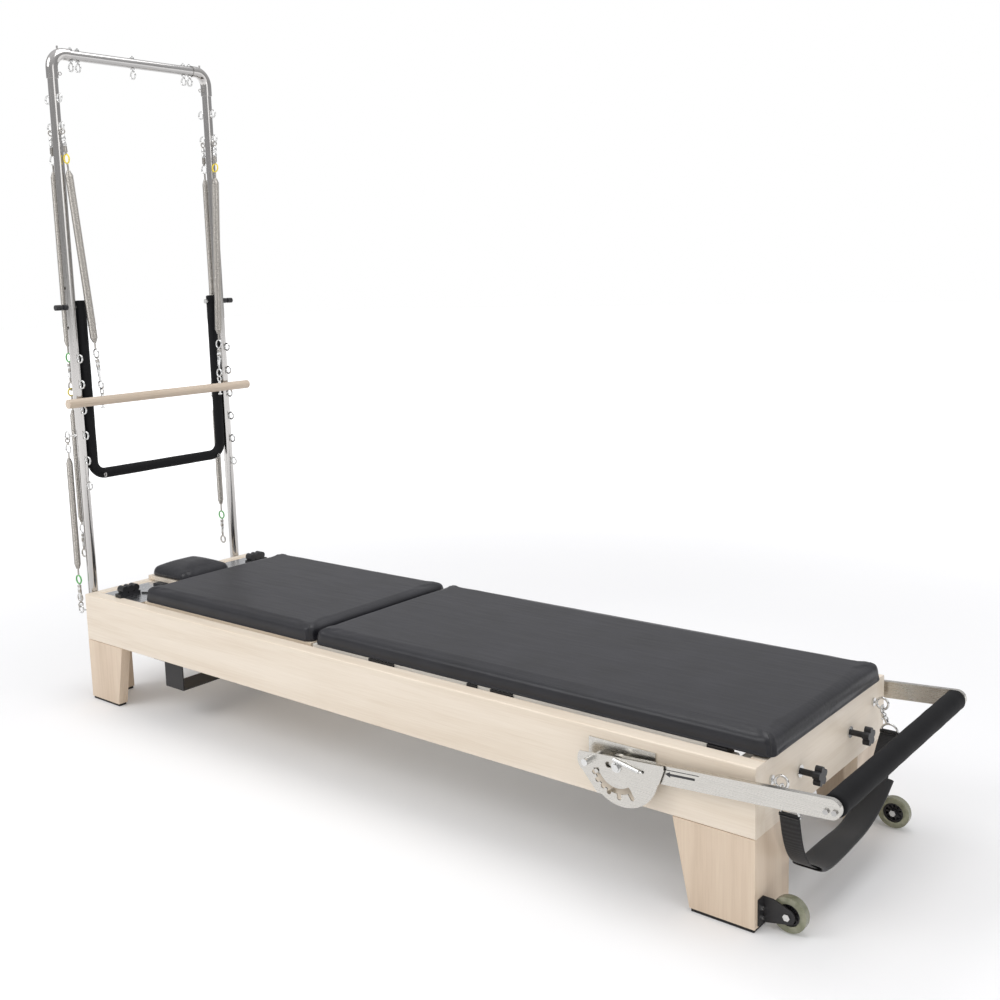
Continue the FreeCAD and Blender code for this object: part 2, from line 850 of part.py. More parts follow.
def spring_chain(link, first_ring, spring, core, last_ring, tail, hook=True):
    """Parts along -Z from a pivot at the origin. Lengths are distances from that pivot."""
    first, wire = link
    top = -(size("eye") - size("eye_wire") - FIT - wire + first)
    parts = [ring(first, wire, (0, 0, top), "x")]
    knot = top - first
    if first_ring:
        parts.append(rod(4, abs(-first_ring + 13 - knot), (0, 0, -first_ring + 13)))
        if first_ring > ROOM_FOR_BARREL:
            parts.append(rod(6.5, 20, (0, 0, -first_ring + 20)))
        parts.append(ring(14, 2.2, (0, 0, -first_ring), "y"))
        knot = -first_ring - 13
    start, end = spring
    parts.append(rod(3, knot + start, (0, 0, -start)))
    parts.append(cone(core, 4, 16, (0, 0, -start - 16)))
    parts.append(rod(core, end - start - 32, (0, 0, -end + 16)))
    parts.append(cone(4, core, 16, (0, 0, -end)))
    parts.append(rod(3, last_ring - 13 - end, (0, 0, -last_ring + 13)))
    parts.append(ring(14, 2.2, (0, 0, -last_ring), "y"))
    if hook:
        parts.append(rod(6.5, 24, (0, 0, -last_ring - 44)))
    parts.append(rod(3.5, tail - 11 - last_ring - 13, (0, 0, -tail + 11)))
    parts.append(ring("eye", "eye_wire", (0, 0, -tail), "y"))
    return fuse(*parts)


def hang(chain, station, y, z, turn="z"):
    return place(chain, (f"head_end + {station}", y, z), turn)


def drops(pivot, *levels):
    return [pivot - level for level in levels]


UPPER = 1877
SMALL_LINK = (8, 2)
ring_at, top_at, end_at, last_at, tail_at = drops(UPPER, 1776, 1740, 1181, 1144, 1049)
near_upper = spring_chain(SMALL_LINK, ring_at, (top_at, end_at), "spring_core", last_at, tail_at)
node("spring_near_upper", hang(near_upper, "eye_head", "-post_spread", UPPER))
tail_at = drops(UPPER, 1066)[0]
far_upper = spring_chain(SMALL_LINK, ring_at, (top_at, end_at), "spring_core", last_at, tail_at)
node("spring_far_upper", hang(far_upper, "eye_head", "post_spread", UPPER))

LOWER = 1049
top_at, end_at, last_at, tail_at = drops(LOWER, 969, 593, 569, 485)
near_lower = spring_chain((12, 2), None, (top_at, end_at), "spring_core", last_at, tail_at)
node("spring_near_lower", hang(near_lower, "eye_head", "-post_spread", LOWER))

ring_at, top_at, end_at, last_at, tail_at = drops(LONG_EYE_HEIGHT, 961, 917, 549, 508, 414)
far_lower = spring_chain(SMALL_LINK, ring_at, (top_at, end_at), "spring_core", last_at, tail_at)
node("spring_far_lower", hang(far_lower, "eye_long", "post_spread", LONG_EYE_HEIGHT))

ring_at, top_at, end_at, last_at = drops(SIDE_EYE_HEIGHT, 846, 813, 440, 402)
low_link = SIDE_EYE_HEIGHT - size("end_eye_z") - (size("eye") - size("eye_wire") - FIT - 2 + 8)
tether = fuse(
    spring_chain(SMALL_LINK, ring_at, (top_at, end_at), "spring_core", last_at, low_link - 25),
    ring(8, 2, (0, 0, -low_link), "x"),
    rod(2.5, 8, (0, 0, -low_link + 6)),
)
node("tethered_spring", hang(tether, "end_eye_at", "-end_eye_y", SIDE_EYE_HEIGHT))

# ---- roll-down bar ----

dowel_x = "head_end + dowel_station"
DOWEL_EYE_RISE = 30
dowel = rounded(
    rod("dowel_radius", "2 * dowel_reach", (dowel_x, "-dowel_reach", "dowel_height"), "y"), 4, (1, 3)
)
dowel_bores = [rod(3, 80, (dowel_x, f"{side} * dowel_eye_y", "dowel_height - 40")) for side in (-1, 1)]
node("rolldown_dowel", cut(dowel, *dowel_bores))

pivot = V(size("eye_foot"), -size("post_spread"), UPPER)
anchor = V(size("dowel_station"), -size("dowel_eye_y"), size("dowel_height") + DOWEL_EYE_RISE)
lean = FreeCAD.Rotation(V(0, 0, -1), anchor - pivot)
reach = (anchor - pivot).Length
roll_chain = spring_chain(SMALL_LINK, 101, (138, 688), "roll_core", 724, reach - 22)
screw = fuse(
    ring(9, 2.5, (dowel_x, "-dowel_eye_y", f"dowel_height + {DOWEL_EYE_RISE}"), "y"),
    rod(3, DOWEL_EYE_RISE + 24 - 8, (dowel_x, "-dowel_eye_y", "dowel_height - 24")),
    rod(7, 4, (dowel_x, "-dowel_eye_y", "dowel_height - 26")),
    rod(5, 6, (dowel_x, "-dowel_eye_y", "dowel_height + 14")),
)
seat = rod("dowel_radius", 60, (dowel_x, "-dowel_eye_y - 30", "dowel_height"), "y")
core = rod(3, 60, (dowel_x, "-dowel_eye_y", "dowel_height - 30"))
roll_near = fuse(hang(roll_chain, "eye_foot", "-post_spread", UPPER, lean), cut(screw, cut(seat, core)))
pair("rolldown_springs", roll_near)

# ---- carriage ----

board(
    "carriage_board",
    "carriage_length",
    "2 * carriage_reach",
    "ply",
    ("head_end + carriage_start", "-carriage_reach", "carriage_base"),
)
cushion(
    "carriage_pad",
    "carriage_pad_length",
    "2 * pad_reach",
    "pad_height",
    ("head_end + carriage_pad_start", "-pad_reach", "carriage_base + ply"),
    "pad_corner",
    "pad_round",
)

wheel_z = "track_top + wheel_radius + wheel_gap"
wall_height = f"carriage_base - ({wheel_z}) + 14"
wheels = []
axles = []
for station in CARRIAGE_AXLES:
    at_x = f"head_end + {station}"
    disc = rod("wheel_radius", "wheel_width", (at_x, "-wheel_outer", wheel_z), "y")
    wheels.append(cut(disc, rod("pin_radius", 40, (at_x, "-wheel_outer - 10", wheel_z), "y")))
    axles.append(
        fuse(
            rod("pin_radius", 30, (at_x, "-wheel_outer", wheel_z), "y"),
            box(40, 4, wall_height, (f"{at_x} - 20", "-axle_wall_y", f"{wheel_z} - 14")),
            box(40, 24, 4, (f"{at_x} - 20", "-axle_wall_y", "carriage_base - 4")),
        )
    )
node("carriage_wheels", *wheels, *[mirrored(wheel) for wheel in wheels])

hinge_x = "head_end + hinge_station"
bracket = cut(
    fuse(
        rod("hinge_knuckle", 4, (hinge_x, -66, "hinge_height"), "y"),
        box("carriage_start - hinge_station", 4, 4, (hinge_x, -66, "carriage_base + ply - 2.9")),
        box(14, 4, 9, (hinge_x, -66, "carriage_base + ply - 2.9")),
    ),
    box(30, 10, 10, ("head_end + carriage_pad_start - 0.5", -70, "carriage_base + ply")),
)
hinge_rod = rod("hinge_pin", 136, (hinge_x, -68, "hinge_height"), "y")
node(
    "carriage_axles",
    *axles,
    *[mirrored(axle) for axle in axles],
    fuse(bracket, mirrored(bracket), hinge_rod),
)

# ---- headrest ----

board(
    "headrest_board",
    "headrest_length",
    "2 * headrest_reach",
    "headrest_ply",
    ("head_end + headrest_start", "-headrest_reach", "headrest_base"),
)
cushion(
    "headrest_pad",
    "headrest_length",
    "2 * headrest_reach",
    "headrest_height",
    ("head_end + headrest_start", "-headrest_reach", "headrest_base + headrest_ply"),
    "headrest_corner",
    "headrest_round",
)
leaf = cut(
    fuse(
        rod("hinge_knuckle", 120, (hinge_x, -60, "hinge_height"), "y"),
        box(
            "hinge_station - headrest_start - headrest_length",
            120,
            7,
            ("head_end + headrest_start + headrest_length", -60, "hinge_height - 3.5"),
        ),
    ),
    rod("hinge_pin + running_fit", 130, (hinge_x, -65, "hinge_height"), "y"),
)
node("headrest_hinge", leaf)

# ---- mat conversion ----

board(
    "mat_board",
    "mat_board_length",
    "2 * carriage_reach",
    "ply",
    ("head_end + mat_start", "-carriage_reach", "carriage_base"),
)
cushion(
    "mat_pad",
    "mat_length",
    "2 * pad_reach",
    "pad_height",
    ("head_end + mat_start", "-pad_reach", "carriage_base + ply"),
    "pad_corner",
    "pad_round",
)
blocks = [
    box(length, 5, "ply", (f"head_end + {station}", "-carriage_reach - 5", "carriage_base"))
    for station, length in MAT_BLOCKS
]
end_block_at = "head_end + mat_start + mat_board_length"
blocks.append(box(47, 34, "ply", (end_block_at, "-carriage_reach - 4", "carriage_base")))
node("mat_blocks", *blocks, *[mirrored(block) for block in blocks])

# ---- footbar side plates ----

pivot_x = "head_end + pivot_station"


def sector(radius, start, sweep, height):
    obj = primitive("Part::Cylinder", (0, 0, -1), Radius=radius, Height=height, Angle=sweep)
    obj.Placement.Rotation = FreeCAD.Rotation(V(0, 0, 1), start)
    return obj


def notch(angle, reach):
    """A round-ended slot that runs outwards from the channel."""
    width = 5.5
    slot = fuse(
        box(f"{reach} - {width} - follower", 2 * width, 8, ("follower", -width, -1)),
        rod(width, 8, (reach - width, 0, -1)),
    )
    slot.Placement = FreeCAD.Placement(V(0, 0, 0), FreeCAD.Rotation(V(0, 0, 1), angle))
    return slot


CHANNEL_START = 195
CHANNEL_SWEEP = 113
front_blank = fuse(
    rod("disc_radius", "front_plate", (12, 3.5, 0)),
    rod("lobe_radius", "front_plate", ("-lobe_reach", -3, 0)),
    prism([(-99, -16), (-50, -72.5), (12, -60), (60, 20), (-71, 28)], "front_plate"),
    prism([(60, -40), (104, -14), (116, 20), (112, 40), (60, 40)], "front_plate"),
)
fold = prism([(-140, 12), (160, 33), (160, 140), (-140, 140)], 8, (0, 0, -1))
channel = cut(
    sector("follower + channel", CHANNEL_START, CHANNEL_SWEEP, 8),
    rod("follower - channel", 10, (0, 0, -2)),
)
slot_half = "pivot_radius + 1"
front = cut(
    front_blank,
    fold,
    channel,
    *[notch(angle, reach) for angle, reach in NOTCHES],
    box(22, f"2 * ({slot_half})", 8, (-22, f"-({slot_half})", -1)),
    rod(slot_half, 8, (-22, 0, -1)),
    rod(slot_half, 8, (0, 0, -1)),
    rod(3.5, 8, (65, 5, -1)),
    rod(6, 8, ("-lobe_reach", -0.8, -1)),
)
place(front, (pivot_x, "-front_inner", "pivot_height"), "upright")
back = cut(
    box(170, "back_plate", 76, ("head_end + 2001", "-frame_width / 2 - back_plate", 261)),
    rod("pivot_radius", 20, (pivot_x, "-frame_width / 2 - 10", "pivot_height"), "y"),
)
plate_gap = "front_inner - frame_width / 2 - back_plate"
spacers = [
    rod(5.5, plate_gap, (f"{pivot_x} + {u}", "-front_inner", f"pivot_height + {v}"), "y")
    for u, v in ((-28, -72), (52, -66))
]
near_plates = doc.addObject("Part::Compound", "Plates")
near_plates.Links = [front, back, *spacers]
node("footbar_plate_near", near_plates)
node("footbar_plate_far", mirrored(near_plates))

# ---- stainless hardware on the frame ----

stop_x = f"{pivot_x} - lobe_reach"
stop_z = "pivot_height - 0.8"
plate_face = "-front_inner - front_plate"
stop_pin = fuse(
    rod(6, f"{plate_gap} + 20", (stop_x, "-front_inner - 20", stop_z), "y"),
    rod(8, 20, (stop_x, f"{plate_face} - 20", stop_z), "y"),
)
bolt_length = "front_inner + front_plate + 4 - frame_width / 2"
pivot_bolt = fuse(
    rod("pivot_radius", bolt_length, (pivot_x, f"{plate_face} - 4", "pivot_height"), "y"),
    rod(12, 2.5, (pivot_x, f"{plate_face} - 2.5", "pivot_height"), "y"),
    nut((pivot_x, f"{plate_face} - 8", "pivot_height"), "y", radius=9, height=6),
)
outer = size("front_inner") + size("front_plate") + 5
station, level = size("pivot_station"), size("pivot_height")
return_spring = fuse(
    strut((station - 5, -outer, level + 17.5), (station + 58, -outer, level + 5), 4),
    strut((station - 5, -outer, level + 17.5), (station - 1, -outer, level + 9), 1.5),
    strut((station + 56, -outer, level + 5.4), (station + 65, -outer, level + 5), 1.5),
    strut((station + 65, -outer - 1, level + 5), (station + 65, -outer + 6.5, level + 5), 1.5),
)
axle_x = "head_end + caster_station"
cheek_face = "cheek_y + cheek_wall"
bolt_length = f"{cheek_face} + 2 - axle_inner"
axle_bolt = fuse(
    rod("pin_radius", bolt_length, (axle_x, f"-({cheek_face}) - 2", "caster_height"), "y"),
    nut((axle_x, "-cheek_y - cheek_wall - 5", "caster_height"), "y", radius=8, height=5),
    nut((axle_x, -280, "caster_height"), "y", radius=8, height=5),
)
leg_bolts = [nut((f"{foot_face} + cheek_wall", -321, z), "x", radius=5, height=4) for z in (25, 46)]
near_hardware = [stop_pin, pivot_bolt, return_spring, axle_bolt, *leg_bolts]
node("frame_hardware", *near_hardware, *[mirrored(piece) for piece in near_hardware])

axle_run = size("caster_station") - size("frame_length")
axle_level = size("caster_height")
cheek_end = size("cheek_end")
cheek_outline = [
    (0, 12),
    (axle_run, axle_level - cheek_end),
    (axle_run + 2, axle_level + cheek_end),
    (24, 70),
    (0, 70),
]
caster_bracket = cut(
    fuse(
        box("cheek_wall", 25, 58, (foot_face, "-cheek_y - 25", 12)),
        prism(cheek_outline, "cheek_wall", (foot_face, "-cheek_y", 0), "upright"),
        rod("cheek_end", "cheek_wall", (axle_x, "-cheek_y - cheek_wall", "caster_height"), "y"),
    ),
    rod("pin_radius", 20, (axle_x, "-cheek_y - 10", "caster_height"), "y"),
)
pair("wheel_brackets", caster_bracket)

# ---- transport wheels ----

SPOKE_STEP = 36


def caster():
    """A soft tyre on a spoked hub, about its own centre, axis along Z."""
    width = size("caster_width")
    tyre = cut(
        rounded(rod("caster_radius", "caster_width", (0, 0, "-caster_width / 2")), 10, (1, 3)),
        rod("caster_hub", width + 2, (0, 0, -width / 2 - 1)),
    )
    spokes = []
    for angle in range(0, 180, SPOKE_STEP):
        spoke = fuse(box("2 * caster_hub - 4", 5, 14, ("2 - caster_hub", -2.5, -7)), rod(3, 14, (0, 0, -7)))
        spoke.Placement = FreeCAD.Placement(V(0, 0, 0), FreeCAD.Rotation(V(0, 0, 1), angle))
        spokes.append(spoke)
    rim_part = cut(
        rod("caster_hub", 20, (0, 0, -10)),
        rod("caster_hub - 4", 22, (0, 0, -11)),
    )
    hub = cut(
        fuse(rim_part, rod(9, 24, (0, 0, -12)), *spokes),
        rod("pin_radius + running_fit", 40, (0, 0, -20)),
    )
    wheel = doc.addObject("Part::Compound", "Wheel")
    wheel.Links = [tyre, hub]
    return wheel


for label, side in (("transport_wheel_near", -1), ("transport_wheel_far", 1)):
    node(label, place(caster(), (axle_x, f"{side} * caster_spread", "caster_height"), "y"))

# ---- stop knobs ----


KNOB_LOBES = 5
LOBE_CIRCLE = 14


def knob_lobe(side, turn):
    across = LOBE_CIRCLE * math.sin(turn)
    up = LOBE_CIRCLE * math.cos(turn)
    middle = (f"{foot_face} + 36", f"{side} * knob_y + {across:.3f}", f"knob_height + {up:.3f}")
    return rod(8, 16, middle, "x")


def stop_knob(side):
    y = f"{side} * knob_y"
    lobe_parts = [knob_lobe(side, 2 * math.pi * k / KNOB_LOBES) for k in range(KNOB_LOBES)]
    return fuse(
        rod("pin_radius", 90, (f"{foot_face} - 50", y, "knob_height"), "x"),
        rod(12, 8, (f"{foot_face} - 50", y, "knob_height"), "x"),
        rod(14, 2.5, (f"{foot_face} + 0.3", y, "knob_height"), "x"),
        rod(7, 34, (f"{foot_face} + 2", y, "knob_height"), "x"),
        rod(15, 16, (f"{foot_face} + 36", y, "knob_height"), "x"),
        *lobe_parts,
    )


node("stop_knob_near", stop_knob(-1))
node("stop_knob_far", stop_knob(1))

# ---- footbar ----

ARM_RISE = 3.9
TAIL_TURN = 202 - ARM_RISE
tail = fuse(box("follower", "arm_thick", 20, (0, 0, -10)), rod(10, "arm_thick", ("follower", 0, 0), "y"))
tail.Placement = FreeCAD.Placement(V(0, 0, 0), FreeCAD.Rotation(V(0, 1, 0), -TAIL_TURN))
follower_angle = math.radians(TAIL_TURN)
follower_at = (
    size("follower") * math.cos(follower_angle),
    -10,
    size("follower") * math.sin(follower_angle),
)
arm = cut(
    fuse(
        box("arm_length", "arm_thick", "arm_depth", (0, 0, "-arm_depth / 2")),
        rod(24, "arm_thick", (0, 0, 0), "y"),
        rod("arm_depth / 2", "arm_thick", ("arm_length", 0, 0), "y"),
        tail,
        rod(13, f"{plate_gap} - 2 * side_fit", (0, "arm_inner + arm_thick - front_inner + side_fit", 0), "y"),
        rod(5, 12, follower_at, "y"),
    ),
    rod("pivot_radius + running_fit", 60, (0, -30, 0), "y"),
)
place(arm, (pivot_x, "-arm_inner - arm_thick", "pivot_height"), FreeCAD.Rotation(V(0, 1, 0), -ARM_RISE))
pair("footbar_arms", arm)

bar_x = "head_end + bar_station"
END_BOLTS = ((2558, 323.4), (2575, 325))
end_bolts = [
    nut((f"head_end + {station}", "-arm_inner - arm_thick - 5", z), "y", radius=6, height=5)
    for station, z in END_BOLTS
]
node(
    "footbar_tube",
    rod("bar_radius", "2 * arm_inner", (bar_x, "-arm_inner", "bar_level"), "y"),
    *end_bolts,
    *[mirrored(bolt) for bolt in end_bolts],
)
grip = rounded(rod("grip_radius", "2 * grip_reach", (bar_x, "-grip_reach", "bar_level"), "y"), 6, (1, 3))
grip_bore = rod("bar_radius", "2 * grip_reach + 2", (bar_x, "-grip_reach - 1", "bar_level"), "y")
node("footbar_grip", cut(grip, grip_bore))

# ---- foot strap ----

SLEEVE_NEAR = -215
SLEEVE_FAR = 190
NEAR_POWER = 9
FAR_POWER = 2


def hang_line(y):
    """Height of the strap's middle line at y, and its slope."""
    half = size("strap_eye_y")
    drop = size("strap_top") - size("strap_low")
    power = NEAR_POWER if y < 0 else FAR_POWER
    share = abs(y) / half
    slope = math.copysign(drop * power * share ** (power - 1) / half, y)
    return size("strap_low") + drop * share**power, slope


def band(start, end, thick, steps):
    """A band of even thickness that follows the hang line from start to end."""
    upper, lower = [], []
    for step in range(steps + 1):
        y = start + (end - start) * step / steps
        z, slope = hang_line(y)
        scale = thick / 2 / math.hypot(1, slope)
        upper.append((y - slope * scale, z + scale))
        lower.append((y + slope * scale, z - scale))
    return upper + lower[::-1]


def strap_piece(start, end, thick, width, station, steps):
    outline = [V(0, y, z) for y, z in band(start, end, thick, steps)]
    face = Part.Face(Part.makePolygon(outline + outline[:1]))
    obj = doc.addObject("Part::Feature", "Band")
    obj.Shape = face.extrude(V(width, 0, 0))
    obj.Placement = FreeCAD.Placement(V(size("head_end") + station, 0, 0), FreeCAD.Rotation())
    return obj


eye_y = size("strap_eye_y")
webbing_at = 2419
sleeve_at = 2420
node(
    "strap_webbing",
    strap_piece(-eye_y, SLEEVE_NEAR, size("webbing_thick"), size("webbing_width"), webbing_at, 12),
    strap_piece(SLEEVE_FAR, eye_y, size("webbing_thick"), size("webbing_width"), webbing_at, 12),
)
node(
    "strap_sleeve",
    strap_piece(SLEEVE_NEAR, SLEEVE_FAR, size("sleeve_thick"), size("sleeve_width"), sleeve_at, 24),
)

strap_link = size("strap_eye_z") - (size("strap_eye") - 2 * size("strap_wire") + 5)
ring_middle = webbing_at + size("webbing_width") / 2
buckle = fuse(
    ring(8.5, 2.5, ("head_end + strap_eye_at", "-strap_eye_y", strap_link), "x"),
    strut((size("strap_eye_at"), -eye_y, strap_link - 8), (ring_middle - 6, -eye_y, 267), 4.5),
    ring(20, 2.5, (f"head_end + {ring_middle}", "-strap_eye_y", "strap_top + 4.2"), "upright", 180),
    rod(2.5, 46, (f"head_end + {ring_middle} - 23", "-strap_eye_y", "strap_top + 4.2"), "x"),
)
pair("strap_rings", buckle)

# ---- export ----

os.makedirs("parts", exist_ok=True)
doc.recompute()
bad = [obj.Label for obj in doc.Objects if "Invalid" in obj.State or "Error" in obj.State]
for obj in NODES:
    if obj.Shape.isNull() or not obj.Shape.isValid():
        bad.append(obj.Label)
if bad:
    raise SystemExit("not built: " + ", ".join(bad))
for obj in NODES:
    obj.Shape.exportStep(f"parts/{obj.Label}.step")
print(len(NODES), "sub-parts")
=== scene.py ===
import math

import bmesh
import bpy
from mathutils import Matrix, Vector, noise
from mathutils.bvhtree import BVHTree


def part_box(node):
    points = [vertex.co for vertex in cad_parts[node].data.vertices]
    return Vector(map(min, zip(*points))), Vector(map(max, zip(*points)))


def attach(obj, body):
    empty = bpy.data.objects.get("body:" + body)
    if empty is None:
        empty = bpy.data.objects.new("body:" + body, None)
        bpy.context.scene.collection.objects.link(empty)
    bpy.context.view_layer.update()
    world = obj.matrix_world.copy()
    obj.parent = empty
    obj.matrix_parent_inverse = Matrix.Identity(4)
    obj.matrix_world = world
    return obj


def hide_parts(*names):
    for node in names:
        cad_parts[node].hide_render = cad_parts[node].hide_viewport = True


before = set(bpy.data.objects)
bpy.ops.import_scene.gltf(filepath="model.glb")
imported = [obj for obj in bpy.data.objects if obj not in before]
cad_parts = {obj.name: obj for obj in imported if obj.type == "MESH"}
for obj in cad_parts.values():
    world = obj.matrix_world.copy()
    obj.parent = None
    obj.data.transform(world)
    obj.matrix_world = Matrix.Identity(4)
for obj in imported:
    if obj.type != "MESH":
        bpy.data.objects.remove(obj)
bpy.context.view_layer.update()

HEAD_END = -1.247


def at(station, y, z):
    """A point from its station along the frame, y and height, all in millimetres."""
    return Vector((HEAD_END + station / 1000, y / 1000, z / 1000))


# ---- materials ----


def nodes_of(name):
    mat = bpy.data.materials.new(name)
    mat.use_nodes = True
    tree = mat.node_tree
    return mat, tree, tree.nodes["Principled BSDF"]


def coordinates(tree, stretch):
    where = tree.nodes.new("ShaderNodeTexCoord")
    mapping = tree.nodes.new("ShaderNodeMapping")
    mapping.inputs["Scale"].default_value = stretch
    tree.links.new(where.outputs["Object"], mapping.inputs["Vector"])
    return mapping.outputs["Vector"]


def noise_node(tree, vector, scale, detail=4.0, rough=0.55):
    tex = tree.nodes.new("ShaderNodeTexNoise")
    tex.inputs["Scale"].default_value = scale
    tex.inputs["Detail"].default_value = detail
    tex.inputs["Roughness"].default_value = rough
    tree.links.new(vector, tex.inputs["Vector"])
    return tex.outputs["Fac"]


def ramp_node(tree, fac, stops):
    ramp = tree.nodes.new("ShaderNodeValToRGB")
    elements = ramp.color_ramp.elements
    while len(elements) < len(stops):
        elements.new(0.5)
    for element, (place, colour) in zip(elements, stops):
        element.position = place
        element.color = (*colour, 1.0)
    tree.links.new(fac, ramp.inputs["Fac"])
    return ramp.outputs["Color"]


def bump_node(tree, height, strength, distance, previous=None):
    bump = tree.nodes.new("ShaderNodeBump")
    bump.inputs["Strength"].default_value = strength
    bump.inputs["Distance"].default_value = distance
    tree.links.new(height, bump.inputs["Height"])
    if previous is not None:
        tree.links.new(previous, bump.inputs["Normal"])
    return bump.outputs["Normal"]


def rough_range(tree, shader, fac, low, high):
    span = tree.nodes.new("ShaderNodeMapRange")
    span.inputs["To Min"].default_value = low
    span.inputs["To Max"].default_value = high
    tree.links.new(fac, span.inputs["Value"])
    tree.links.new(span.outputs["Result"], shader.inputs["Roughness"])


def wood(name, tones, along, figure=1.0):
    """Lacquered maple with its grain along one axis."""
    mat, tree, shader = nodes_of(name)
    stretch = [22.0, 22.0, 22.0]
    stretch["xyz".index(along)] = 1.3
    fine = [260.0, 260.0, 260.0]
    fine["xyz".index(along)] = 7.0
    broad = noise_node(tree, coordinates(tree, stretch), 1.0 * figure, 5.0, 0.6)
    streak = noise_node(tree, coordinates(tree, fine), 1.0, 3.0, 0.6)
    mix = tree.nodes.new("ShaderNodeMix")
    mix.inputs["Factor"].default_value = 0.32
    tree.links.new(broad, mix.inputs["A"])
    tree.links.new(streak, mix.inputs["B"])
    light, middle, dark = tones
    colour = ramp_node(tree, mix.outputs["Result"], [(0.34, dark), (0.5, middle), (0.64, light)])
    tree.links.new(colour, shader.inputs["Base Color"])
    rough_range(tree, shader, streak, 0.34, 0.5)
    shader.inputs["Coat Weight"].default_value = 0.18
    shader.inputs["Coat Roughness"].default_value = 0.25
    tree.links.new(bump_node(tree, streak, 0.12, 0.0006), shader.inputs["Normal"])
    return mat


def metal(name, tone, rough, streak=(40, 40, 40), bump=0.04, spread=0.08):
    mat, tree, shader = nodes_of(name)
    shader.inputs["Metallic"].default_value = 1.0
    fac = noise_node(tree, coordinates(tree, streak), 6.0, 4.0)
    low = tuple(c * 0.88 for c in tone)
    tree.links.new(ramp_node(tree, fac, [(0.3, low), (0.7, tone)]), shader.inputs["Base Color"])
    rough_range(tree, shader, fac, rough - spread / 2, rough + spread)
    tree.links.new(bump_node(tree, fac, bump, 0.0004), shader.inputs["Normal"])
    return mat


def vinyl(name, dark, light, rough=0.36):
    """Upholstery vinyl: leather grain, and shallow wrinkles that run along the pad."""
    mat, tree, shader = nodes_of(name)
    wrinkle = noise_node(tree, coordinates(tree, (5.0, 60.0, 60.0)), 1.6, 6.0, 0.6)
    cells = tree.nodes.new("ShaderNodeTexVoronoi")
    cells.inputs["Scale"].default_value = 900.0
    tree.links.new(coordinates(tree, (1, 1, 1)), cells.inputs["Vector"])
    cloud = noise_node(tree, coordinates(tree, (1, 1, 1)), 9.0, 3.0)
    tree.links.new(ramp_node(tree, cloud, [(0.3, dark), (0.7, light)]), shader.inputs["Base Color"])
    rough_range(tree, shader, wrinkle, rough - 0.05, rough + 0.1)
    soft = bump_node(tree, wrinkle, 0.35, 0.0018)
    tree.links.new(bump_node(tree, cells.outputs["Distance"], 0.18, 0.0004, soft), shader.inputs["Normal"])
    shader.inputs["Specular IOR Level"].default_value = 0.44
    return mat


def plastic(name, tone, rough=0.42, grain=420.0, bump=0.1, spread=0.12, scale=1.18):
    mat, tree, shader = nodes_of(name)
    vector = coordinates(tree, (1, 1, 1))
    cloud = noise_node(tree, vector, 30.0, 4.0)
    speck = noise_node(tree, vector, grain, 2.0)
    light = tuple(min(1.0, c * scale) for c in tone)
    tree.links.new(ramp_node(tree, cloud, [(0.3, tone), (0.7, light)]), shader.inputs["Base Color"])
    rough_range(tree, shader, speck, rough, rough + spread)
    tree.links.new(bump_node(tree, speck, bump, 0.0004), shader.inputs["Normal"])
    return mat


def weave(name, tone, light, scale=700.0, stretch=(1, 1, 1)):
    """Woven webbing: two crossed sets of fine ribs."""
    mat, tree, shader = nodes_of(name)
    vector = coordinates(tree, stretch)
    ribs = []
    for direction in ("X", "Y"):
        wave = tree.nodes.new("ShaderNodeTexWave")
        wave.bands_direction = direction
        wave.inputs["Scale"].default_value = scale / 6.3
        wave.inputs["Distortion"].default_value = 0.6
        tree.links.new(vector, wave.inputs["Vector"])
        ribs.append(wave.outputs["Fac"])
    both = tree.nodes.new("ShaderNodeMath")
    both.operation = "MULTIPLY"
    tree.links.new(ribs[0], both.inputs[0])
    tree.links.new(ribs[1], both.inputs[1])
    tree.links.new(ramp_node(tree, both.outputs[0], [(0.1, tone), (0.8, light)]), shader.inputs["Base Color"])
    shader.inputs["Roughness"].default_value = 0.82
    shader.inputs["Sheen Weight"].default_value = 0.25
    tree.links.new(bump_node(tree, both.outputs[0], 0.5, 0.0005), shader.inputs["Normal"])
    return mat


def polyurethane(name):
    """The clear smoky tyre of a caster."""
    mat, tree, shader = nodes_of(name)
    cloud = noise_node(tree, coordinates(tree, (1, 1, 1)), 70.0, 3.0)
    stops = [(0.3, (0.33, 0.34, 0.22)), (0.7, (0.5, 0.5, 0.37))]
    tree.links.new(ramp_node(tree, cloud, stops), shader.inputs["Base Color"])
    shader.inputs["Roughness"].default_value = 0.2
    shader.inputs["IOR"].default_value = 1.48
    shader.inputs["Transmission Weight"].default_value = 0.45
    tree.links.new(bump_node(tree, cloud, 0.05, 0.0005), shader.inputs["Normal"])
    return mat


MAPLE = ((0.85, 0.755, 0.635), (0.81, 0.71, 0.585), (0.74, 0.63, 0.50))
TAN = ((0.755, 0.62, 0.475), (0.70, 0.56, 0.425), (0.615, 0.48, 0.35))
DOWEL = ((0.66, 0.55, 0.44), (0.61, 0.505, 0.40), (0.53, 0.43, 0.33))
maple_x = wood("maple_along", MAPLE, "x")
maple_y = wood("maple_across", MAPLE, "y")
maple_z = wood("maple_upright", TAN, "z")
maple_dowel = wood("maple_dowel", DOWEL, "y")
ply = wood("ply_board", ((0.80, 0.70, 0.57), (0.74, 0.64, 0.51), (0.66, 0.56, 0.44)), "x", 1.6)
pale_board = wood("pale_board", ((0.82, 0.80, 0.75), (0.78, 0.755, 0.70), (0.70, 0.67, 0.62)), "x", 1.4)
post_steel = metal("post_steel", (0.545, 0.53, 0.515), 0.12, (60, 60, 3))
cross_steel = metal("crossbar_steel", (0.52, 0.51, 0.50), 0.13, (60, 3, 60))
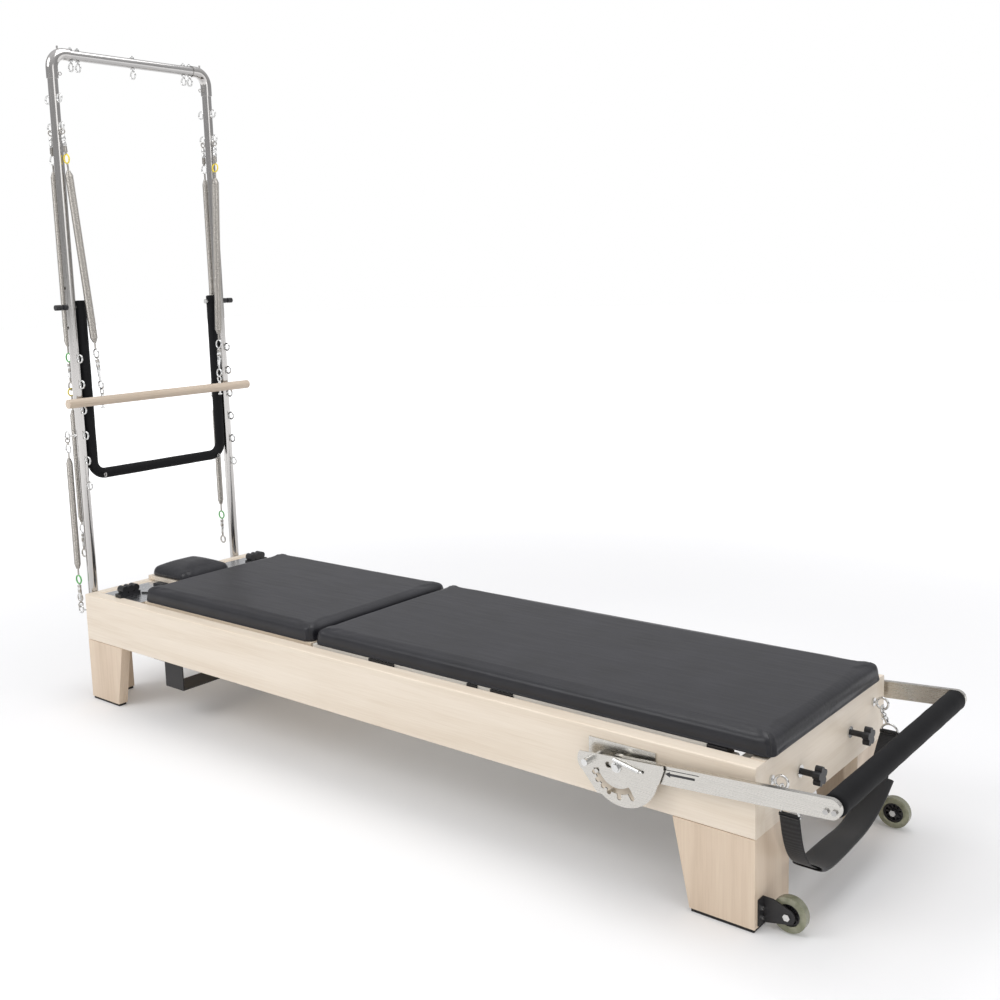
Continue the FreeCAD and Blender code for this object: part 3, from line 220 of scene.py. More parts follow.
plate_steel = metal("plate_steel", (0.66, 0.64, 0.60), 0.25, (4, 60, 90), 0.05)
deck_steel = metal("deck_steel", (0.72, 0.73, 0.74), 0.24, (60, 4, 60), 0.05)
bright = metal("bright_fittings", (0.76, 0.76, 0.75), 0.2, (30, 30, 30))
spring_wire = metal("spring_wire", (0.50, 0.475, 0.44), 0.24, (50, 50, 50), 0.05)
track_metal = metal("track_aluminium", (0.66, 0.67, 0.69), 0.38, (3, 60, 60))
pad_vinyl = vinyl("pad_vinyl", (0.009, 0.009, 0.012), (0.015, 0.015, 0.020))
black_plastic = plastic("black_plastic", (0.012, 0.012, 0.014), 0.36)
black_paint = plastic("black_powder_coat", (0.018, 0.017, 0.018), 0.45, 900.0, 0.2)
foot_rubber = plastic("foot_rubber", (0.012, 0.011, 0.011), 0.7, 300.0, 0.2)
grip_foam = plastic("grip_foam", (0.009, 0.009, 0.010), 0.6, 1100.0, 0.3)
grip_foam.node_tree.nodes["Principled BSDF"].inputs["Specular IOR Level"].default_value = 0.14
webbing = weave("strap_webbing_weave", (0.006, 0.006, 0.007), (0.03, 0.03, 0.033))
sleeve_cloth = weave("strap_sleeve_cloth", (0.006, 0.006, 0.007), (0.022, 0.022, 0.024), 1100.0)
rope_weave = weave("rope_braid", (0.006, 0.006, 0.006), (0.03, 0.03, 0.03), 1600.0, (1, 1, 3))
tyre = polyurethane("smoky_tyre")
wheel_hub = plastic("wheel_hub", (0.016, 0.015, 0.017), 0.34)
yellow = plastic("yellow_ring", (0.78, 0.62, 0.06), 0.35, 300.0, 0.08, 0.1, 1.08)
green = plastic("green_ring", (0.10, 0.42, 0.10), 0.38, 300.0, 0.08, 0.1, 1.1)
label_ink = plastic("label_ink", (0.03, 0.03, 0.032), 0.5)
thread = plastic("seam_thread", (0.02, 0.02, 0.022), 0.6, 900.0, 0.3)

NODE_LOOKS = {
    maple_x: ("side_rail_near", "side_rail_far", "headrest_board"),
    maple_y: ("head_crossboard", "foot_crossboard", "head_deck"),
    maple_dowel: ("rolldown_dowel",),
    maple_z: ("leg_head_near", "leg_head_far", "leg_foot_near", "leg_foot_far"),
    ply: ("carriage_board",),
    pale_board: ("mat_board",),
    post_steel: ("tower_posts", "tower_elbows", "push_through_frame"),
    cross_steel: ("tower_crossbar", "footbar_tube", "spring_bar"),
    plate_steel: (
        "footbar_plate_near",
        "footbar_plate_far",
        "footbar_arms",
        "post_brackets",
        "carriage_axles",
        "headrest_hinge",
    ),
    deck_steel: ("deck_plate",),
    bright: ("crossbar_eyebolts", "post_eyebolts", "frame_eyebolts", "frame_hardware", "strap_rings"),
    spring_wire: (
        "tethered_spring",
        "spring_near_upper",
        "spring_near_lower",
        "spring_far_upper",
        "spring_far_lower",
        "rolldown_springs",
        "main_springs",
    ),
    track_metal: ("carriage_tracks",),
    black_plastic: (
        "rope_cleats",
        "pop_pins",
        "mat_blocks",
        "stop_knob_near",
        "stop_knob_far",
        "carriage_wheels",
    ),
    black_paint: ("storage_cradle", "wheel_brackets"),
    foot_rubber: ("foot_pads",),
    pad_vinyl: ("carriage_pad", "mat_pad", "headrest_pad"),
    grip_foam: ("footbar_grip", "push_through_grip"),
    webbing: ("strap_webbing", "strap_sleeve", "cleat_rope"),
    tyre: ("transport_wheel_near", "transport_wheel_far"),
}


def smooth(mesh, angle=35):
    for poly in mesh.polygons:
        poly.use_smooth = True
    edit = bmesh.new()
    edit.from_mesh(mesh)
    limit = math.radians(angle)
    sharp = [e.index for e in edit.edges if len(e.link_faces) != 2 or e.calc_face_angle(0) > limit]
    edit.free()
    for index in sharp:
        mesh.edges[index].use_edge_sharp = True


def repaint(node, mat, wanted):
    """Gives the faces of a CAD node whose middle passes the test another material."""
    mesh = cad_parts[node].data
    mesh.materials.append(mat)
    index = len(mesh.materials) - 1
    for poly in mesh.polygons:
        if wanted(poly.center):
            poly.material_index = index


for mat, names in NODE_LOOKS.items():
    for name in names:
        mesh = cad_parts[name].data
        mesh.materials.clear()
        mesh.materials.append(mat)
        smooth(mesh)

wheel_middle = at(2454, 0, 41)
for side in ("near", "far"):
    repaint(
        f"transport_wheel_{side}",
        wheel_hub,
        lambda c: math.hypot(c.x - wheel_middle.x, c.z - wheel_middle.z) < 0.0242,
    )
    repaint(f"stop_knob_{side}", bright, lambda c: c.x < at(2403, 0, 0).x)
repaint("pop_pins", bright, lambda c: abs(c.y) < 0.3165)
repaint("rolldown_springs", bright, lambda c: c.z < 1.1)

for name in NODE_LOOKS[maple_x] + NODE_LOOKS[maple_y] + NODE_LOOKS[maple_z]:
    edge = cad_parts[name].modifiers.new("eased", "BEVEL")
    edge.width = 0.0012
    edge.segments = 2
    edge.limit_method = "ANGLE"
    edge.angle_limit = math.radians(50)

# ---- mesh helpers ----


def new_object(name, verts, faces, mat, body, smooth_angle=40):
    mesh = bpy.data.meshes.new(name)
    mesh.from_pydata([tuple(v) for v in verts], [], faces)
    mesh.materials.append(mat)
    mesh.update()
    if smooth_angle:
        smooth(mesh, smooth_angle)
    obj = bpy.data.objects.new(name, mesh)
    bpy.context.scene.collection.objects.link(obj)
    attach(obj, body)
    return obj


def frames_along(points):
    """A direction and two cross directions at each point, carried along without twist."""
    tangents = []
    for i in range(len(points)):
        ahead = points[min(i + 1, len(points) - 1)]
        behind = points[max(i - 1, 0)]
        if (ahead - behind).length < 1e-7:
            ahead = points[min(i + 2, len(points) - 1)]
            behind = points[max(i - 2, 0)]
        tangents.append((ahead - behind).normalized())
    side = tangents[0].orthogonal().normalized()
    out = []
    for tangent in tangents:
        side = (side - tangent * side.dot(tangent)).normalized()
        out.append((tangent, side, tangent.cross(side)))
    return out


def tube(points, radii, sides, closed=False):
    """Vertices and faces of a round tube along points."""
    verts, faces = [], []
    count = len(points)
    for (_, u, v), point, radius in zip(frames_along(points), points, radii):
        for k in range(sides):
            turn = 2 * math.pi * k / sides
            verts.append(point + u * (radius * math.cos(turn)) + v * (radius * math.sin(turn)))
    for i in range(count - 1):
        for k in range(sides):
            a, b = i * sides + k, i * sides + (k + 1) % sides
            faces.append((a, b, b + sides, a + sides))
    if closed:
        faces.append(tuple(range(sides))[::-1])
        faces.append(tuple((count - 1) * sides + k for k in range(sides)))
    return verts, faces


def torus(centre, axis, radius, wire, around=40, sides=10):
    axis = axis.normalized()
    u = axis.orthogonal().normalized()
    v = axis.cross(u)
    verts, faces = [], []
    for i in range(around):
        a = 2 * math.pi * i / around
        out = u * math.cos(a) + v * math.sin(a)
        for k in range(sides):
            b = 2 * math.pi * k / sides
            verts.append(centre + out * (radius + wire * math.cos(b)) + axis * (wire * math.sin(b)))
    for i in range(around):
        for k in range(sides):
            a, b = i * sides + k, i * sides + (k + 1) % sides
            c, d = (a + sides) % len(verts), (b + sides) % len(verts)
            faces.append((a, c, d, b))
    return verts, faces


def merge(*pieces):
    verts, faces = [], []
    for some_verts, some_faces in pieces:
        shift = len(verts)
        verts += some_verts
        faces += [tuple(i + shift for i in face) for face in some_faces]
    return verts, faces


def coil(start, end, core, wire=0.0016, pitch=0.0033, taper=0.016):
    """A close-wound spring from start to end, narrowing at both ends."""
    run = end - start
    length = run.length
    axis = run.normalized()
    u = axis.orthogonal().normalized()
    v = axis.cross(u)
    turns = length / pitch
    steps = int(turns * 14)
    points = []
    for i in range(steps + 1):
        along = length * i / steps
        near_end = min(along, length - along)
        radius = core if near_end > taper else 0.0045 + (core - 0.0045) * near_end / taper
        turn = 2 * math.pi * turns * i / steps
        points.append(start + axis * along + (u * math.cos(turn) + v * math.sin(turn)) * radius)
    return tube(points, [wire] * len(points), 6, closed=True)


# ---- springs ----

SPRING_CORE = 0.0094
EYES, LONG_EYES, END_EYE = -57, -82, -45
NEAR, FAR, END_Y = -305, 305, -341
LOWER_EYE = 1049


def spring_on(name, station, y, top, bottom, body):
    verts, faces = coil(at(station, y, top), at(station, y, bottom), SPRING_CORE)
    return new_object(name, verts, faces, spring_wire, body, 60)


spring_on("coil_near_upper", EYES, NEAR, 1740, 1181, "near_upper")
spring_on("coil_near_lower", EYES, NEAR, 969, 593, "near_lower")
spring_on("coil_far_upper", EYES, FAR, 1740, 1181, "far_upper")
spring_on("coil_far_lower", LONG_EYES, FAR, 917, 549, "far_lower")
spring_on("coil_tethered", END_EYE, END_Y, 813, 440, "frame")


def ring_cover(name, centre, axis, mat, body, radius=0.014, wire=0.0026):
    verts, faces = torus(centre, axis, radius, wire)
    return new_object(name, verts, faces, mat, body)


ACROSS = Vector((0, 1, 0))
ALONG = Vector((1, 0, 0))
ring_cover("ring_near_upper_top", at(EYES, NEAR, 1776), ACROSS, bright, "near_upper")
ring_cover("ring_near_upper_low", at(EYES, NEAR, 1144), ACROSS, green, "near_upper")
yellow_ring_at = at(EYES, NEAR, LOWER_EYE - 19.25)
ring_cover("ring_near_lower_top", yellow_ring_at, ALONG, yellow, "near_lower", 0.012, 0.0024)
ring_cover("ring_near_lower_low", at(EYES, NEAR, 569), ACROSS, bright, "near_lower")
ring_cover("ring_far_upper_top", at(EYES, FAR, 1776), ACROSS, bright, "far_upper")
ring_cover("ring_far_upper_low", at(EYES, FAR, 1144), ACROSS, green, "far_upper")
ring_cover("ring_far_lower_top", at(LONG_EYES, FAR, 961), ACROSS, bright, "far_lower")
ring_cover("ring_far_lower_low", at(LONG_EYES, FAR, 508), ACROSS, green, "far_lower")
ring_cover("ring_tethered_top", at(END_EYE, END_Y, 846), ACROSS, bright, "frame")
ring_cover("ring_tethered_low", at(END_EYE, END_Y, 402), ACROSS, green, "frame")

SIDES = ((-1, "near"), (1, "far"))
ROLL_CORE, ROLL_WIRE, ROLL_PITCH = 0.0112, 0.0018, 0.0037
ROLL_COIL = (0.138, 0.688)
ROLL_RINGS = (0.101, 0.724)
ROLL_HOOKS = ((0.025, 0.086), (0.74, 0.812))


def rolldown_line(side):
    """The top of a roll-down spring, and the direction in which it hangs."""
    pivot = at(10, side * 305, 1877)
    anchor = at(30, side * 245, 1030)
    return pivot, (anchor - pivot).normalized()


for side, word in SIDES:
    pivot, lean = rolldown_line(side)
    flat = ACROSS - lean * ACROSS.dot(lean)
    coil_top, coil_foot = (pivot + lean * reach for reach in ROLL_COIL)
    verts, faces = coil(coil_top, coil_foot, ROLL_CORE, ROLL_WIRE, ROLL_PITCH)
    new_object(f"coil_rolldown_{word}", verts, faces, spring_wire, "rolldown", 60)
    ring_cover(f"ring_rolldown_{word}_top", pivot + lean * ROLL_RINGS[0], flat, yellow, "rolldown")
    ring_cover(f"ring_rolldown_{word}_low", pivot + lean * ROLL_RINGS[1], flat, bright, "rolldown")

# ---- pads ----


PAD_VOXEL = 0.006
PAD_SWELL = 0.006
PAD_FLOOR = 0.004
PAD_SLACK = 0.002
PAD_MARGIN = 0.0008
PAD_CELL = 0.012
AIR_PRESSURE = 4
AIR_FRAMES = 20
CORNER_STEPS = 8
CROWN_RINGS = 14
BASE_PROFILE = ((0.006, 0.0), (0.0032, 0.0015))
SIDE_FOOT = 0.004
SIDE_INSET = 0.0026
SIDE_BULGE = 0.002
SEAM_FOOT = 0.003
SEAM_STEPS = 16
SEAM_RADIUS = 0.0011


def applied(obj):
    """Swaps an object's mesh for what its modifiers make of it."""
    depsgraph = bpy.context.evaluated_depsgraph_get()
    made = bpy.data.meshes.new_from_object(obj.evaluated_get(depsgraph))
    obj.modifiers.clear()
    obj.data = made
    return made


def fill_with_air(obj, low, high):
    """Swells a padded piece by cloth simulation, its base held down, and keeps it in its CAD box."""
    middle = (low + high) / 2
    for vert in obj.data.vertices:
        for axis in (0, 1):
            vert.co[axis] -= math.copysign(PAD_SLACK, vert.co[axis] - middle[axis])
    grid = obj.modifiers.new("even_mesh", "REMESH")
    grid.mode = "VOXEL"
    grid.voxel_size = PAD_VOXEL
    mesh = applied(obj)
    start = [v.co.copy() for v in mesh.vertices]
    held = obj.vertex_groups.new(name="held")
    held.add([i for i, co in enumerate(start) if co.z < low.z + PAD_FLOOR], 1.0, "ADD")
    cloth = obj.modifiers.new("air", "CLOTH")
    cloth.settings.vertex_group_mass = "held"
    cloth.settings.use_pressure = True
    cloth.settings.uniform_pressure_force = AIR_PRESSURE
    cloth.settings.effector_weights.gravity = 0
    cloth.settings.quality = 4
    cloth.collision_settings.use_collision = False
    cloth.point_cache.frame_start = 1
    cloth.point_cache.frame_end = AIR_FRAMES
    scene = bpy.context.scene
    for frame_number in range(1, AIR_FRAMES + 1):
        scene.frame_set(frame_number)
    swollen = applied(obj)
    for vert, before in zip(swollen.vertices, start):
        move = vert.co - before
        if move.length > PAD_SWELL:
            move *= PAD_SWELL / move.length
        spot = before + move
        for axis in range(3):
            floor = low[axis] + PAD_MARGIN * (axis < 2)
            spot[axis] = min(high[axis] - PAD_MARGIN, max(floor, spot[axis]))
        vert.co = spot
    scene.frame_set(1)
    finer = obj.modifiers.new("finer", "SUBSURF")
    finer.levels = 1
    finer.render_levels = 1
    for poly in applied(obj).polygons:
        poly.use_smooth = True


def corner_seams(name, mesh, low, high, body):
    """A welt down each upright corner of a pad, laid on its surface."""
    surface = BVHTree.FromPolygons([v.co for v in mesh.vertices], [p.vertices for p in mesh.polygons])
    for sx, end in ((-1, "head"), (1, "foot")):
        for sy, side in ((-1, "near"), (1, "far")):
            outside = Vector((high.x if sx > 0 else low.x, high.y if sy > 0 else low.y, 0))
            inward = Vector((-sx, -sy, 0)).normalized()
            points = []
            for k in range(SEAM_STEPS):
                level = low.z + SEAM_FOOT + (high.z - low.z - SEAM_FOOT) * k / SEAM_STEPS
                hit = surface.ray_cast(outside - inward * 0.01 + Vector((0, 0, level)), inward)[0]
                if hit is not None and hit.z > low.z:
                    points.append(hit)
            verts, faces = tube(points, [SEAM_RADIUS] * len(points), 6, True)
            new_object(f"{name}_seam_{end}_{side}", verts, faces, thread, body)


def rounded_pad(name, node, mat, crown, corner, top_round, body, seam=True):
    """An upholstered pad inside its CAD block: crowned top, soft edges, slightly full sides."""
    low, high = (Vector(c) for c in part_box(node))
    size = high - low
    nx, ny = max(8, int(size.x / PAD_CELL)), max(8, int(size.y / PAD_CELL))
    outline = []
    centres = [
        (high.x - corner, high.y - corner, 0),
        (low.x + corner, high.y - corner, 90),
        (low.x + corner, low.y + corner, 180),
        (high.x - corner, low.y + corner, 270),
    ]
    for i, (cx, cy, start) in enumerate(centres):
        for k in range(CORNER_STEPS + 1):
            a = math.radians(start + 90 * k / CORNER_STEPS)
            outline.append((cx + corner * math.cos(a), cy + corner * math.sin(a), math.cos(a), math.sin(a)))
        nxt = centres[(i + 1) % 4]
        end = math.radians(start + 90)
        count = nx if i % 2 == 0 else ny
        for k in range(1, count):
            t = k / count
            x = cx + corner * math.cos(end) + (nxt[0] - cx) * t
            y = cy + corner * math.sin(end) + (nxt[1] - cy) * t
            outline.append((x, y, math.cos(end), math.sin(end)))
    profile = list(BASE_PROFILE)
    height = size.z - crown
    wall_top = height - top_round
    for k in range(5):
        t = k / 4
        bulge = SIDE_BULGE * math.sin(math.pi * t)
        profile.append((SIDE_INSET - bulge, SIDE_FOOT + (wall_top - SIDE_FOOT) * t))
    for k in range(1, 8):
        a = math.pi / 2 * k / 7
        profile.append((SIDE_INSET + top_round * (1 - math.cos(a)), wall_top + top_round * math.sin(a)))
    inner_edge = profile[-1][0]
    reach = min(size.x, size.y) / 2 - inner_edge
    verts, faces = [], []

    def lift(x, y, depth):
        """How high the filled top stands at a point, depth from its rounded edge."""
        share = min(1.0, depth / reach)
        wrinkle = noise.noise(Vector((x * 5, y * 46, 3.1))) * 0.00055
        wave = wrinkle + noise.noise(Vector((x * 2, y * 9, 8.4))) * 0.0006
        return crown * (1 - (1 - share) ** 2.4) + wave * min(1.0, depth / 0.02)

    for inset, z in profile:
        for x, y, ox, oy in outline:
            ripple = noise.noise(Vector((x * 16, y * 16, z * 3))) * 0.0004
            verts.append((x - ox * (inset - ripple), y - oy * (inset - ripple), low.z + z))
    for r in range(1, CROWN_RINGS + 1):
        share = (r / CROWN_RINGS) ** 0.85
        depth = reach * share * 0.995
        inset = inner_edge + depth
        for x, y, ox, oy in outline:
            px = max(low.x + inset, min(high.x - inset, x - ox * inset))
            py = max(low.y + inset, min(high.y - inset, y - oy * inset))
            verts.append((px, py, low.z + height + lift(px, py, depth)))
    count = len(outline)
    levels = len(profile) + CROWN_RINGS
    for level in range(levels - 1):
        for k in range(count):
            a, b = level * count + k, level * count + (k + 1) % count
            faces.append((a, b, b + count, a + count))
    faces.append(tuple(range(count))[::-1])
    obj = new_object(name, verts, faces, mat, body, 0)
    mesh = obj.data
    edit = bmesh.new()
    edit.from_mesh(mesh)
    bmesh.ops.remove_doubles(edit, verts=edit.verts, dist=0.00005)
    last = [e for e in edit.edges if e.is_boundary]
    if last:
        bmesh.ops.holes_fill(edit, edges=last, sides=0)
    bmesh.ops.recalc_face_normals(edit, faces=edit.faces)
    for face in edit.faces:
        face.smooth = True
    edit.to_mesh(mesh)
    edit.free()
    fill_with_air(obj, low, high)
    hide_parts(node)
    if seam:
        corner_seams(name, obj.data, low, high, body)
    return obj


rounded_pad("carriage_cushion", "carriage_pad", pad_vinyl, 0.004, 0.032, 0.016, "carriage")
rounded_pad("mat_cushion", "mat_pad", pad_vinyl, 0.004, 0.026, 0.016, "mat")
rounded_pad("headrest_cushion", "headrest_pad", pad_vinyl, 0.017, 0.034, 0.024, "headrest", seam=False)

# ---- grips ----


LIP, LIP_STEPS = 0.006, 5


def sleeve_tube(name, node, path, radius, bore, body):
    """A foam sleeve along a path: rounded lips at both ends and slightly uneven sides."""
    radii = [radius - 0.0006 + 0.0006 * noise.noise(point * 24) for point in path]
    start, end = path[0], path[-1]
    into = (path[1] - path[0]).normalized()
    out = (path[-1] - path[-2]).normalized()
    turns = [math.pi / 2 * k / LIP_STEPS for k in range(LIP_STEPS)]
    reach = [LIP * (1 - math.cos(a)) for a in turns]
    lip = [radius - LIP * (1 - math.sin(a)) for a in turns]
    head = [start + into * r for r in reach]
    tail = [end - out * r for r in reversed(reach)]
    line = [start, *head, *path[1:-1], *tail, end]
    size = [bore, *lip, *radii[1:-1], *reversed(lip), bore]
    verts, faces = tube(line, size, 28)
    obj = new_object(name, verts, faces, grip_foam, body, 50)
    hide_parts(node)
    return obj


BAR_STATION, BAR_LEVEL, GRIP_REACH, BAR_STEPS = 2566, 328.5, 356, 60
bar = [at(BAR_STATION, GRIP_REACH * (2 * k / BAR_STEPS - 1), BAR_LEVEL) for k in range(BAR_STEPS + 1)]
sleeve_tube("footbar_cushion", "footbar_grip", bar, 0.025, 0.0162, "footbar")

LEG_STEPS, BEND_STEPS = 24, 8


def u_path(spread, top, low, bend, station):
    """The middle line of a U that hangs between two pivots, in millimetres."""
    leg = top - low - bend
    span = spread - bend
    bends = [math.pi / 2 * k / BEND_STEPS for k in range(1, BEND_STEPS + 1)]
    steps = range(1, LEG_STEPS + 1)
    points = [at(station, -spread, top - leg * k / LEG_STEPS) for k in range(LEG_STEPS + 1)]
    for a in bends:
        points.append(at(station, -spread + bend * (1 - math.cos(a)), low + bend * (1 - math.sin(a))))
    points += [at(station, -span + 2 * span * k / LEG_STEPS, low) for k in steps]
    for a in bends:
        points.append(at(station, span + bend * math.sin(a), low + bend * (1 - math.cos(a))))
    points += [at(station, spread, low + bend + leg * k / LEG_STEPS) for k in steps]
    return points


push_line = u_path(spread=269, top=1329, low=751, bend=45, station=-20)
sleeve_tube("push_through_cushion", "push_through_grip", push_line, 0.018, 0.0122, "push_through")

# ---- foot strap ----

STRAP_TOP, STRAP_LOW, STRAP_HALF = 240.0, 98.0, 279.0
NEAR_POWER, FAR_POWER = 9, 2
SLEEVE_NEAR, SLEEVE_FAR = -215, 190


def strap_point(y, station):
    share = abs(y) / STRAP_HALF
    power = NEAR_POWER if y < 0 else FAR_POWER
    return at(station, y, STRAP_LOW + (STRAP_TOP - STRAP_LOW) * share**power)


def ribbon(points, wide, thick, round_edge=6, twist=None):
    """A flat band along points: an oval section, wide along X, turned by twist."""
    verts, faces = [], []
    sides = 4 * round_edge
    for i, point in enumerate(points):
        ahead = points[min(i + 1, len(points) - 1)]
        behind = points[max(i - 1, 0)]
        run = (ahead - behind).normalized()
        across = (ALONG - run * run.dot(ALONG)).normalized()
        normal = run.cross(across)
        turn = twist(i / (len(points) - 1)) if twist else 0.0
        u = across * math.cos(turn) + normal * math.sin(turn)
        v = normal * math.cos(turn) - across * math.sin(turn)
        w, t = wide[i] / 2, thick[i] / 2
        for k in range(sides):
            a = 2 * math.pi * k / sides
            cx = math.copysign(abs(math.cos(a)) ** 0.35, math.cos(a))
            sx = math.copysign(abs(math.sin(a)) ** 0.8, math.sin(a))
            verts.append(point + u * (w * cx) + v * (t * sx))
    for i in range(len(points) - 1):
        for k in range(sides):
            a, b = i * sides + k, i * sides + (k + 1) % sides
            faces.append((a, b, b + sides, a + sides))
    return verts, faces, sides


SLEEVE_STEPS, SLEEVE_STATION = 70, 2453
SLEEVE_WIDE, SLEEVE_THICK, SLEEVE_FILL = 0.066, 0.0115, 0.4
HEM_DEPTH, HEM_SHARE = 0.012, 0.8
sleeve_length = SLEEVE_FAR - SLEEVE_NEAR
sleeve_points = []
for k in range(SLEEVE_STEPS + 1):
    sleeve_points.append(strap_point(SLEEVE_NEAR + sleeve_length * k / SLEEVE_STEPS, SLEEVE_STATION))
wide, thick = [], []
for point in sleeve_points:
    flutter = noise.noise(Vector((point.y * 14, 2.0, 5.0)))
    wide.append(SLEEVE_WIDE * (1 - 0.03 * abs(flutter)))
    thick.append(SLEEVE_THICK * (0.86 + 0.22 * flutter))
verts, faces, sides = ribbon(sleeve_points, wide, thick, 6, lambda t: 0.10 * math.sin(2.2 * math.pi * t))
mouth = sleeve_points[0]
inward = (sleeve_points[1] - mouth).normalized() * HEM_DEPTH
hem = len(verts)
verts += [mouth + (v + inward - mouth) * HEM_SHARE for v in verts[:sides]]
for k in range(sides):
    faces.append((k, hem + k, hem + (k + 1) % sides, (k + 1) % sides))
faces.append(tuple(hem + k for k in range(sides)))
faces.append(tuple(SLEEVE_STEPS * sides + k for k in range(sides)))
sleeve = new_object("strap_padding", verts, faces, sleeve_cloth, "strap", 50)
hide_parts("strap_sleeve")

WEB_STATION, WEB_DRIFT, WEB_TUCK = 2441.5, 10, 12
WEB_WIDE, WEB_THICK = 0.045, 0.0026
RING_LEVEL, WRAP_RADIUS, WRAP_STEPS = 244.2, 0.0042, 13


def web_run(start, end, steps):
    """Webbing from a D-ring into the sleeve, sliding sideways on the way."""
    points = []
    for k in range(steps + 1):
        t = k / steps
        points.append(strap_point(start + (end - start) * t, WEB_STATION + WEB_DRIFT * t * t))
    return points


def web_piece(points):
    verts, faces, _ = ribbon(points, [WEB_WIDE] * len(points), [WEB_THICK] * len(points), 3)
    return verts, faces


near_web = web_run(-STRAP_HALF, SLEEVE_NEAR + WEB_TUCK, 30)
far_web = web_run(STRAP_HALF, SLEEVE_FAR - WEB_TUCK, 26)
loops = []
for side, _ in SIDES:
    eye = at(WEB_STATION, side * STRAP_HALF, RING_LEVEL)
    wrap = []
    for k in range(WRAP_STEPS + 1):
        a = math.radians(-80 + 340 * k / WRAP_STEPS)
        wrap.append(eye + Vector((0, math.sin(a) * WRAP_RADIUS, math.cos(a) * WRAP_RADIUS)))
    loops.append(web_piece(wrap))
verts, faces = merge(web_piece(near_web), web_piece(far_web), *loops)
web = new_object("strap_web", verts, faces, webbing, "strap", 50)
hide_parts("strap_webbing")

# ---- rope at the cleat ----

ROPE_ROUTE = ((154, -234), (172, -222), (206, -214), (240, -212))
ROPE_LEVEL = 362.7
ROPE_RADIUS = 0.0025
rope_curve = bpy.data.curves.new("cleat_cord", "CURVE")
rope_curve.dimensions = "3D"
spline = rope_curve.splines.new("NURBS")
spline.points.add(len(ROPE_ROUTE) - 1)
for point, (station, y) in zip(spline.points, ROPE_ROUTE):
    point.co = (*at(station, y, ROPE_LEVEL), 1.0)
spline.order_u = 3
spline.use_endpoint_u = True
spline.resolution_u = 12
rope_curve.bevel_depth = ROPE_RADIUS
rope_curve.bevel_resolution = 4
rope_curve.use_fill_caps = True
rope_curve.materials.append(rope_weave)
rope = bpy.data.objects.new("cleat_cord", rope_curve)
bpy.context.scene.collection.objects.link(rope)
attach(rope, "frame")
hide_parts("cleat_rope")

# ---- snap hooks ----


HOOK_PROFILE = (
    (0, 0.003),
    (0.06, 0.0055),
    (0.2, 0.0068),
    (0.32, 0.0068),
    (0.36, 0.0045),
    (0.4, 0.006),
    (0.62, 0.0052),
    (0.8, 0.0036),
    (1.0, 0.003),
)
GATE_START, GATE_WIRE = 0.35, 0.0021
GATE_SHARES = (0.35, 0.45, 0.55, 0.65, 0.75, 0.85, 0.95, 1.0)
STUB_SHARE, STUB_REACH = 0.52, 0.0095


def snap_hook(name, top, bottom, body, wide=0.0075):
    """A swivel snap: barrel, collar, curved gate and thumb stub between two points."""
    run = (bottom - top).normalized()
    length = (bottom - top).length
    side = ALONG if abs(run.z) > 0.9 else run.orthogonal().normalized()
    line = [top + run * (length * share) for share, _ in HOOK_PROFILE]
    barrel = tube(line, [radius for _, radius in HOOK_PROFILE], 18, True)
    stub_at = top + run * (length * STUB_SHARE)
    stub = tube([stub_at, stub_at + side * STUB_REACH], [0.0018, 0.0024], 10, True)
    gate = []
    for share in GATE_SHARES:
        bow = wide * math.sin(math.pi * (share - GATE_START) / (1 - GATE_START))
        gate.append(top + run * (length * share) - side * bow)
    hook = tube(gate, [GATE_WIRE] * len(gate), 8, True)
    verts, faces = merge(barrel, stub, hook)
    return new_object(name, verts, faces, bright, body, 45)


snap_hook("snap_near_upper", at(EYES, NEAR, 1853), at(EYES, NEAR, 1792), "near_upper")
snap_hook("snap_near_upper_low", at(EYES, NEAR, 1128), at(EYES, NEAR, 1066), "near_upper")
snap_hook("snap_far_upper", at(EYES, FAR, 1853), at(EYES, FAR, 1792), "far_upper")
snap_hook("snap_far_upper_low", at(EYES, FAR, 1128), at(EYES, FAR, 1082), "far_upper")
snap_hook("snap_near_lower", at(EYES, NEAR, 554), at(EYES, NEAR, 501), "near_lower")
snap_hook("snap_far_lower", at(LONG_EYES, FAR, 492), at(LONG_EYES, FAR, 430), "far_lower")
snap_hook("snap_tethered", at(END_EYE, END_Y, 386), at(END_EYE, END_Y, 328), "frame")
for side, word in SIDES:
    y = side * STRAP_HALF
    snap_hook(f"snap_strap_{word}", at(2424, y, 289), at(2435, y, 268), "strap", 0.005)
    pivot, lean = rolldown_line(side)
    for end, (start, stop) in zip(("top", "low"), ROLL_HOOKS):
        snap_hook(f"snap_rolldown_{word}_{end}", pivot + lean * start, pivot + lean * stop, "rolldown")

# ---- label on the footbar arm: a plain arrow, no words ----


ARM_FACE = 376.4
ARM_PIVOT = (2092, 296.5)
ARM_RISE = math.radians(3.9)
LABEL_THICK = 0.0003
LABEL_SHAPES = (
    ((116, 4), (128, 10), (128, 6.5), (186, 6.5), (186, 1.5), (128, 1.5), (128, -2)),
    ((112, 14), (196, 14), (196, 12.6), (112, 12.6)),
)


